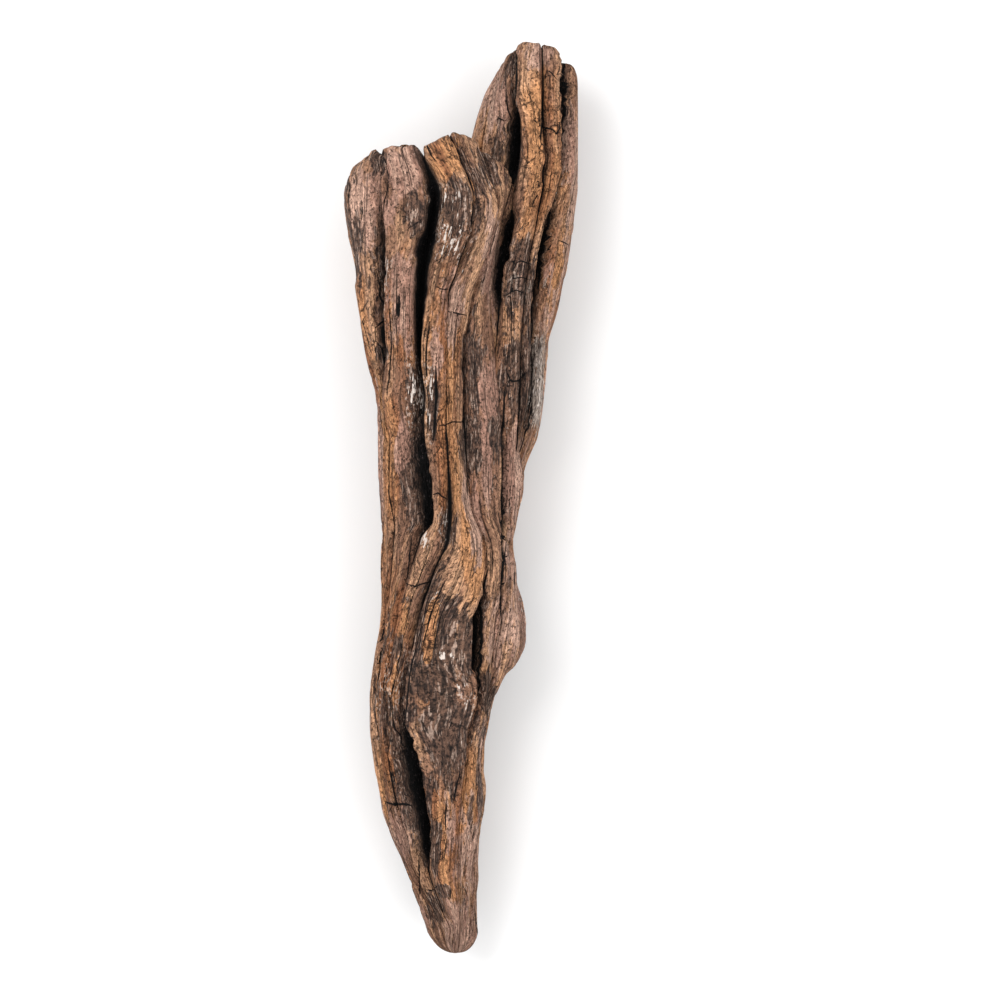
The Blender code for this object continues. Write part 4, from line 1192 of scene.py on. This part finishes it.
@dataclass(frozen=True)
class Grain:
    """Patterns drawn out along the grain."""

    graph: Graph
    place: Signal

    def fibre(self, width: float, length: float, detail: float, shift: float) -> Signal:
        """Makes noise from 0 to 1.

        Args:
            width: How wide its features are across the grain.
            length: How long they are along it.
            detail: How many finer layers it has.
            shift: Another shift gives another pattern.

        Returns:
            The noise.
        """
        place = self.place * (1 / width, 1 / width, 1 / length) + (shift, shift, shift)
        inputs = {"Vector": place, "Scale": 1.0, "Detail": detail, "Roughness": 0.6}
        return self.graph.node("ShaderNodeTexNoise", {}, inputs)

    def block_edge(self, width: float, length: float, bend: Signal) -> Signal:
        """Measures the distance from the cracks that part the surface into small blocks.

        Args:
            width: How wide the blocks are across the grain.
            length: How long they are along it.
            bend: What moves the cracks out of their straight lines.

        Returns:
            The distance, as a share of a block.
        """
        place = self.place * (1 / width, 1 / width, 1 / length) + bend
        settings = {"feature": "DISTANCE_TO_EDGE"}
        return self.graph.node("ShaderNodeTexVoronoi", settings, {"Vector": place, "Scale": 1.0}, "Distance")


@dataclass(frozen=True)
class Marks:
    """The grain's marks, each a pattern from 0 to 1 unless it says otherwise."""

    broad: Signal
    streak: Signal
    vein: Signal
    thread: Signal
    pale_thread: Signal
    grit: Signal
    pit: Signal
    dust: Signal
    ragged: Signal  # from -0.5 to 0.5: it moves the edges of stains
    wobble: Signal  # from -0.45 to 0.45: it bends lines


@dataclass(frozen=True)
class Stains:
    """How much of each stain shows, from 0 to 1."""

    char: Signal
    peeling: Signal  # the pale rim of char
    bare: Signal
    warm: Signal
    silver: Signal
    fleck: Signal


@dataclass(frozen=True)
class WeatheredWood:
    """Dry wood, its bark long gone: streaked, checked, charred in places, with painted shade in grooves and
    cracks.
    """

    tan: Triple = linear(188, 144, 112)
    brown: Triple = linear(134, 98, 78)
    orange: Triple = linear(192, 136, 92)
    rust: Triple = linear(150, 98, 66)
    pink: Triple = linear(186, 150, 132)
    rose: Triple = linear(158, 120, 104)
    char_brown: Triple = linear(94, 70, 58)
    char_black: Triple = linear(40, 31, 28)
    char_pale: Triple = linear(158, 134, 120)
    cream: Triple = linear(214, 200, 190)
    olive: Triple = linear(66, 54, 48)
    silver: Triple = linear(172, 156, 144)
    # The painted shade deep in grooves and in cracks: near black, with grey grit showing through it in the
    # grooves.
    painted_shade: Triple = linear(5, 4, 4)
    ash: Triple = linear(70, 60, 60)
    roughness: float = 0.82
    shine: float = 0.2
    bump_height: float = 1.0 * MM

    def material(self) -> bpy.types.Material:
        """Makes the wood's material.

        Returns:
            The material, which reads the traits that the mesh carries.
        """
        made = bpy.data.materials.new("weathered_wood")
        made.use_nodes = True
        graph = Graph(made.node_tree)
        grain = Grain(graph, graph.node("ShaderNodeAttribute", {"attribute_name": "grain"}, {}, "Vector"))
        groove, seam, split = graph.trait("groove_shade")
        char_level, bare_level, warm_level = graph.trait("stain")
        fleck_level, silver_level, tone = graph.trait("fleck")
        crack_off, crack_width, plates = graph.trait("crack")
        marks = self.marks(grain)
        stains = self.stains(marks, (char_level, bare_level, warm_level, silver_level, fleck_level))
        cracks = self.crack_lines(marks, (crack_off, crack_width, seam, split))
        line = cracks.larger(self.net(grain, marks, stains) * 0.7)

        # Each flaked plate has a tone of its own and a dark edge.
        plate = plates + marks.ragged * 0.5
        plate_number = graph.node("ShaderNodeMath", {"operation": "FLOOR"}, {0: plate})
        one_number = {"noise_dimensions": "1D"}
        plate_tone = graph.node("ShaderNodeTexWhiteNoise", one_number, {"W": plate_number}, "Value")
        plate_edge = (plate - plate_number).ease(0.0, 0.12)

        # Sound wood first, then what lies over it, and painted shade in the grooves and cracks.
        mood = marks.broad + (tone + plate_tone - 0.5) * 0.14
        mood = mood + (marks.grit - 0.5) * 0.25 + (marks.streak - 0.5) * 0.3
        charred = self.charred_wood(marks)
        colour = self.sound_wood(marks, stains, mood) * (1 - self.fine_checks(grain, marks, stains) * 0.45)
        colour = (stains.char * 0.94).blend(colour, charred)
        silver = (marks.thread * 0.6 + marks.streak * 0.4).ease(0.42, 0.56).blend(self.olive, self.silver)
        colour = (stains.silver * 0.9).blend(colour, silver)
        # Painted shade: a groove darkens with its depth toward a dim char colour, and deep in it the colour
        # turns black, with grey grit.
        hollow = (groove + marks.ragged * 1.6).ease(1.2, 3.8)
        colour = (hollow * 0.8).blend(colour, charred * 0.55)
        deep_shade = (groove + marks.ragged * 3.0).ease(3.4, 6.0)
        painted_shade = (marks.grit * 0.6 + marks.dust * 0.4).ease(0.55, 0.7).blend(self.painted_shade, self.ash)
        colour = deep_shade.blend(colour, painted_shade)
        colour = colour * (0.7 + marks.grit.ease(0.3, 0.7) * 0.56) * (0.75 + plate_edge * 0.25)
        colour = colour * (0.5 + marks.dust * 0.95) * (0.26 + marks.pit.ease(0.36, 0.46) * 0.78)
        colour = (stains.fleck.larger(stains.peeling * 0.45) * (1 - deep_shade)).blend(colour, self.cream)
        # Painted shade: the thin cracks, the seams between strands and the net of cracks are drawn black.
        colour = line.blend(colour, self.painted_shade)

        height = marks.vein.ease(0.33, 0.43) * 0.4 + marks.thread * 0.6 + marks.grit * 0.5
        height = height + plate_edge * 0.3 - line * 0.8
        relief = {"Strength": 1.0, "Distance": self.bump_height, "Height": height}
        normal = graph.node("ShaderNodeBump", {}, relief, "Normal")
        rough = self.roughness + marks.thread * 0.12 - stains.char * 0.1
        shader = made.node_tree.nodes["Principled BSDF"]
        for name, signal in (("Base Color", colour), ("Roughness", rough), ("Normal", normal)):
            made.node_tree.links.new(signal.socket, shader.inputs[name])
        shader.inputs["Specular IOR Level"].default_value = self.shine
        return made

    @staticmethod
    def marks(grain: Grain) -> Marks:
        """Draws the grain's marks, from broad bands down to dust."""
        return Marks(
            broad=grain.fibre(4.5, 60, 2, 0.0),
            streak=grain.fibre(1.1, 16, 3, 7.1),
            vein=grain.fibre(0.6, 24, 2, 11.3),
            thread=grain.fibre(0.42, 4.5, 2, 3.7),
            pale_thread=grain.fibre(0.45, 5.0, 2, 8.8),
            grit=grain.fibre(0.8, 1.5, 2, 1.9),
            pit=grain.fibre(0.5, 1.1, 2, 15.2),
            dust=grain.fibre(0.36, 0.5, 1, 6.2),
            ragged=grain.fibre(1.0, 4, 3, 5.3) - 0.5,
            wobble=(grain.fibre(1.3, 1.3, 2, 4.4) - 0.5) * 0.9,
        )

    @staticmethod
    def stains(marks: Marks, levels: tuple[Signal, ...]) -> Stains:
        """Turns the stains' smooth levels into patches with ragged edges.

        Args:
            marks: The grain's marks.
            levels: The levels of char, bare, warm, silver and fleck.

        Returns:
            The stains.
        """
        char, bare, warm, silver, fleck = levels
        char = char + marks.ragged * 1.5
        peeling = abs(char + 0.1).ease(0.15, 0.03) * marks.grit.ease(0.5, 0.6) * fleck.ease(-0.8, -0.2)
        return Stains(
            char=char.ease(0.0, 0.14),
            peeling=peeling,
            bare=(bare + marks.ragged * 1.5).ease(0.0, 0.3),
            warm=(warm + marks.ragged).ease(-0.25, 0.5),
            silver=(silver + marks.ragged * 1.5).ease(0.0, 0.3),
            fleck=(marks.grit * 0.35 + marks.pale_thread * 0.65 + fleck * 0.1).ease(0.61, 0.65),
        )

    @staticmethod
    def crack_lines(marks: Marks, places: tuple[Signal, ...]) -> Signal:
        """Draws the black lines of the thin cracks and of the seams between strands.

        Args:
            marks: The grain's marks.
            places: The distance to a thin crack, its width, the distance to a seam and the seam's depth.

        Returns:
            1 in the lines and 0 beside them.
        """
        crack_off, crack_width, seam, depth = places
        bend = marks.wobble * 0.3
        crack = abs(crack_off + bend).ease(crack_width * 0.75, crack_width * 0.25)
        seam_width = depth.ease(0.3, 4.0) * 0.8
        return crack.larger((seam + bend).ease(seam_width, seam_width * 0.35))

    @staticmethod
    def net(grain: Grain, marks: Marks, stains: Stains) -> Signal:
        """Draws the net of thin cracks that comes and goes over sound wood, to be painted black as shade.

        Args:
            grain: What to draw it with.
            marks: The grain's marks.
            stains: The stains. Bare wood has less of it.

        Returns:
            1 in the cracks and 0 beside them.
        """
        width = ((grain.fibre(3.5, 9, 1, 3.1) - 0.54 + stains.warm * 0.1) * 0.24).larger(0.0)
        edge = grain.block_edge(4.2, 8.5, marks.wobble * 0.5)
        return edge.ease(width, width * 0.3) * (1 - stains.bare * 0.75)

    @staticmethod
    def fine_checks(grain: Grain, marks: Marks, stains: Stains) -> Signal:
        """Draws finer checks, which darken sound wood.

        Args:
            grain: What to draw them with.
            marks: The grain's marks.
            stains: The stains. Warm wood has more of them and bare wood fewer.

        Returns:
            1 in the checks and 0 beside them.
        """
        width = (grain.fibre(2.6, 7, 1, 9.4) - 0.49 + stains.warm * 0.05 - stains.bare * 0.12) * 0.8
        width = width.larger(0.0).smaller(0.14)
        return grain.block_edge(1.9, 4.4, marks.wobble * 0.8).ease(width, width * 0.2)

    def sound_wood(self, marks: Marks, stains: Stains, mood: Signal) -> Signal:
        """Colours wood that isn't charred: brown to tan, orange where it is warm and pink where it is bare.

        Args:
            marks: The grain's marks.
            stains: The stains.
            mood: How light each place is, about 0.3 to 0.6.

        Returns:
            The colour.
        """
        sound = mood.ease(0.36, 0.62).blend(self.brown, self.tan)
        sound = (stains.warm * 0.85).blend(sound, mood.ease(0.3, 0.6).blend(self.rust, self.orange))
        sound = (stains.bare * 0.9).blend(sound, mood.ease(0.32, 0.58).blend(self.rose, self.pink))
        return sound * (0.45 + marks.vein.ease(0.34, 0.44) * 0.55) * (0.7 + marks.thread.ease(0.3, 0.7) * 0.5)

    def charred_wood(self, marks: Marks) -> Signal:
        """Colours charred wood: black to brown, with pale threads."""
        mood = (marks.thread * 0.5 + marks.grit * 0.25 + marks.streak * 0.25).ease(0.42, 0.56)
        pale = marks.pale_thread.ease(0.55, 0.61) * marks.streak.ease(0.36, 0.52)
        return pale.blend(mood.blend(self.char_black, self.char_brown), self.char_pale)


@dataclass
class Driftwood:
    """The whole piece: the trunk and the limb, joined, with the low spots worn flat."""

    trunk: Limb
    limb: Limb
    wood: WeatheredWood
    name: str = "weathered_driftwood"

    def build(self) -> bpy.types.Object:
        """Builds and dresses the piece.

        Returns:
            The piece, standing for its solid.
        """
        skins = [self.trunk.skin(), self.limb.skin()]
        piece, other = (self.mesh_object(f"limb_{i}", skin) for i, skin in enumerate(skins))
        self.join(piece, other)
        self.carry_traits(piece.data, skins)
        self.press_inside(piece.data)
        piece.name = piece.data.name = self.name
        piece.data.materials.clear()
        piece.data.materials.append(self.wood.material())
        piece.data.shade_smooth()
        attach(piece, "root")
        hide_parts("driftwood")
        LOG.info("%s: %d faces", piece.name, len(piece.data.polygons))
        return piece

    @staticmethod
    def mesh_object(name: str, skin: Skin) -> bpy.types.Object:
        """Turns a grid of points into an object, in metres."""
        mesh = bpy.data.meshes.new(name)
        mesh.from_pydata((skin.points * MM).tolist(), [], skin.faces)
        made = bpy.data.objects.new(name, mesh)
        bpy.context.scene.collection.objects.link(made)
        return made

    @staticmethod
    def join(piece: bpy.types.Object, other: bpy.types.Object) -> None:
        """Joins other to piece and removes other.

        Args:
            piece: What stays.
            other: What is joined to it.
        """
        modifier = piece.modifiers.new("join", "BOOLEAN")
        modifier.operation = "UNION"
        modifier.solver = "MANIFOLD"
        modifier.object = other
        graph = bpy.context.evaluated_depsgraph_get()
        joined = bpy.data.meshes.new_from_object(piece.evaluated_get(graph))
        piece.modifiers.clear()
        piece.data = joined
        bpy.data.objects.remove(other)

    @staticmethod
    def carry_traits(mesh: bpy.types.Mesh, skins: list[Skin]) -> None:
        """Gives each vertex the traits of the nearest point of the grids it came from.

        Args:
            mesh: The joined mesh.
            skins: The grids.
        """
        points = np.concatenate([skin.points for skin in skins]) * MM
        tree = kdtree.KDTree(len(points))
        for i, point in enumerate(points):
            tree.insert(point, i)
        tree.balance()
        nearest = [tree.find(vertex.co)[1] for vertex in mesh.vertices]
        for name in skins[0].traits:
            rows = np.concatenate([skin.traits[name] for skin in skins])[nearest]
            attribute = mesh.attributes.new(name, "FLOAT_VECTOR", "POINT")
            attribute.data.foreach_set("vector", rows.astype(np.float32).ravel())

    def press_inside(self, mesh: bpy.types.Mesh) -> None:
        """Wears the low spots flat on the floor, and keeps the fine relief inside the solid's own box.

        Args:
            mesh: The joined mesh.
        """
        places = np.empty(len(mesh.vertices) * 3, np.float32)
        mesh.vertices.foreach_get("co", places)
        low, high = (np.array(corner) for corner in CAD_BOX)
        places = np.clip(places.reshape(-1, 3), low, high)
        mesh.vertices.foreach_set("co", places.ravel())
        mesh.update()


@dataclass
class Studio:
    """A pale floor, soft light from above, and a camera that looks straight down."""

    view_middle: tuple[float, float] = (14.0, -0.5)
    view_width: float = 350.0  # what the picture spans, at half the wood's height
    view_height: float = 30.0
    lens: float = 200.0
    sensor: float = 36.0
    furthest_seen: float = 20.0  # metres
    floor_size: float = 6.0  # metres
    floor_height: float = -0.0001  # metres, so that the wood's flat spots don't lie in the floor
    floor_colour: Triple = linear(244, 244, 244)
    floor_roughness: float = 0.9
    world_strength: float = 0.95

    def build(self) -> None:
        """Builds the floor, the lights and the camera."""
        scene = bpy.context.scene
        scene.view_settings.view_transform = "Standard"
        self.floor()
        self.world()
        self.lamp("key", (-0.7, 0.5, 1.3), 0.9, 12.0)
        self.lamp("fill", (0.9, -0.4, 1.2), 1.2, 7.0)
        camera = bpy.data.cameras.new("camera")
        camera.lens, camera.sensor_width = self.lens, self.sensor
        made = bpy.data.objects.new("camera", camera)
        distance = self.lens * self.view_width / self.sensor
        x, y = self.view_middle
        made.location = Vector((x, y, self.view_height + distance)) * MM
        camera.clip_end = self.furthest_seen
        scene.collection.objects.link(made)
        scene.camera = made
        LOG.info("studio: camera %.0f mm above the floor", self.view_height + distance)

    def floor(self) -> None:
        """Lays the pale floor."""
        bpy.ops.mesh.primitive_plane_add(size=self.floor_size, location=(0, 0, self.floor_height))
        floor = bpy.context.active_object
        floor.name = "floor"
        paint = bpy.data.materials.new("pale_floor")
        paint.use_nodes = True
        shader = paint.node_tree.nodes["Principled BSDF"]
        shader.inputs["Base Color"].default_value = (*self.floor_colour, 1.0)
        shader.inputs["Roughness"].default_value = self.floor_roughness
        floor.data.materials.append(paint)

    def world(self) -> None:
        """Lights everything softly from all round."""
        world = bpy.data.worlds.new("studio")
        world.use_nodes = True
        background = world.node_tree.nodes["Background"]
        background.inputs["Color"].default_value = (1.0, 1.0, 1.0, 1.0)
        background.inputs["Strength"].default_value = self.world_strength
        bpy.context.scene.world = world

    @staticmethod
    def lamp(name: str, place: Triple, size: float, power: float) -> None:
        """Hangs a soft square light that faces the wood.

        Args:
            name: The light's name.
            place: Where it hangs, in metres.
            size: Its side, in metres.
            power: Its power in watts.
        """
        light = bpy.data.lights.new(name, "AREA")
        light.shape, light.size, light.energy = "SQUARE", size, power
        made = bpy.data.objects.new(name, light)
        made.location = place
        made.rotation_euler = (-Vector(place)).to_track_quat("-Z", "Y").to_euler()
        bpy.context.scene.collection.objects.link(made)


def main() -> None:
    """Builds the piece and the studio."""
    logging.basicConfig(level=logging.INFO, format="%(name)s %(message)s")
    Driftwood(TRUNK, LIMB, WeatheredWood()).build()
    Studio().build()


if __name__ == "__main__":
    main()
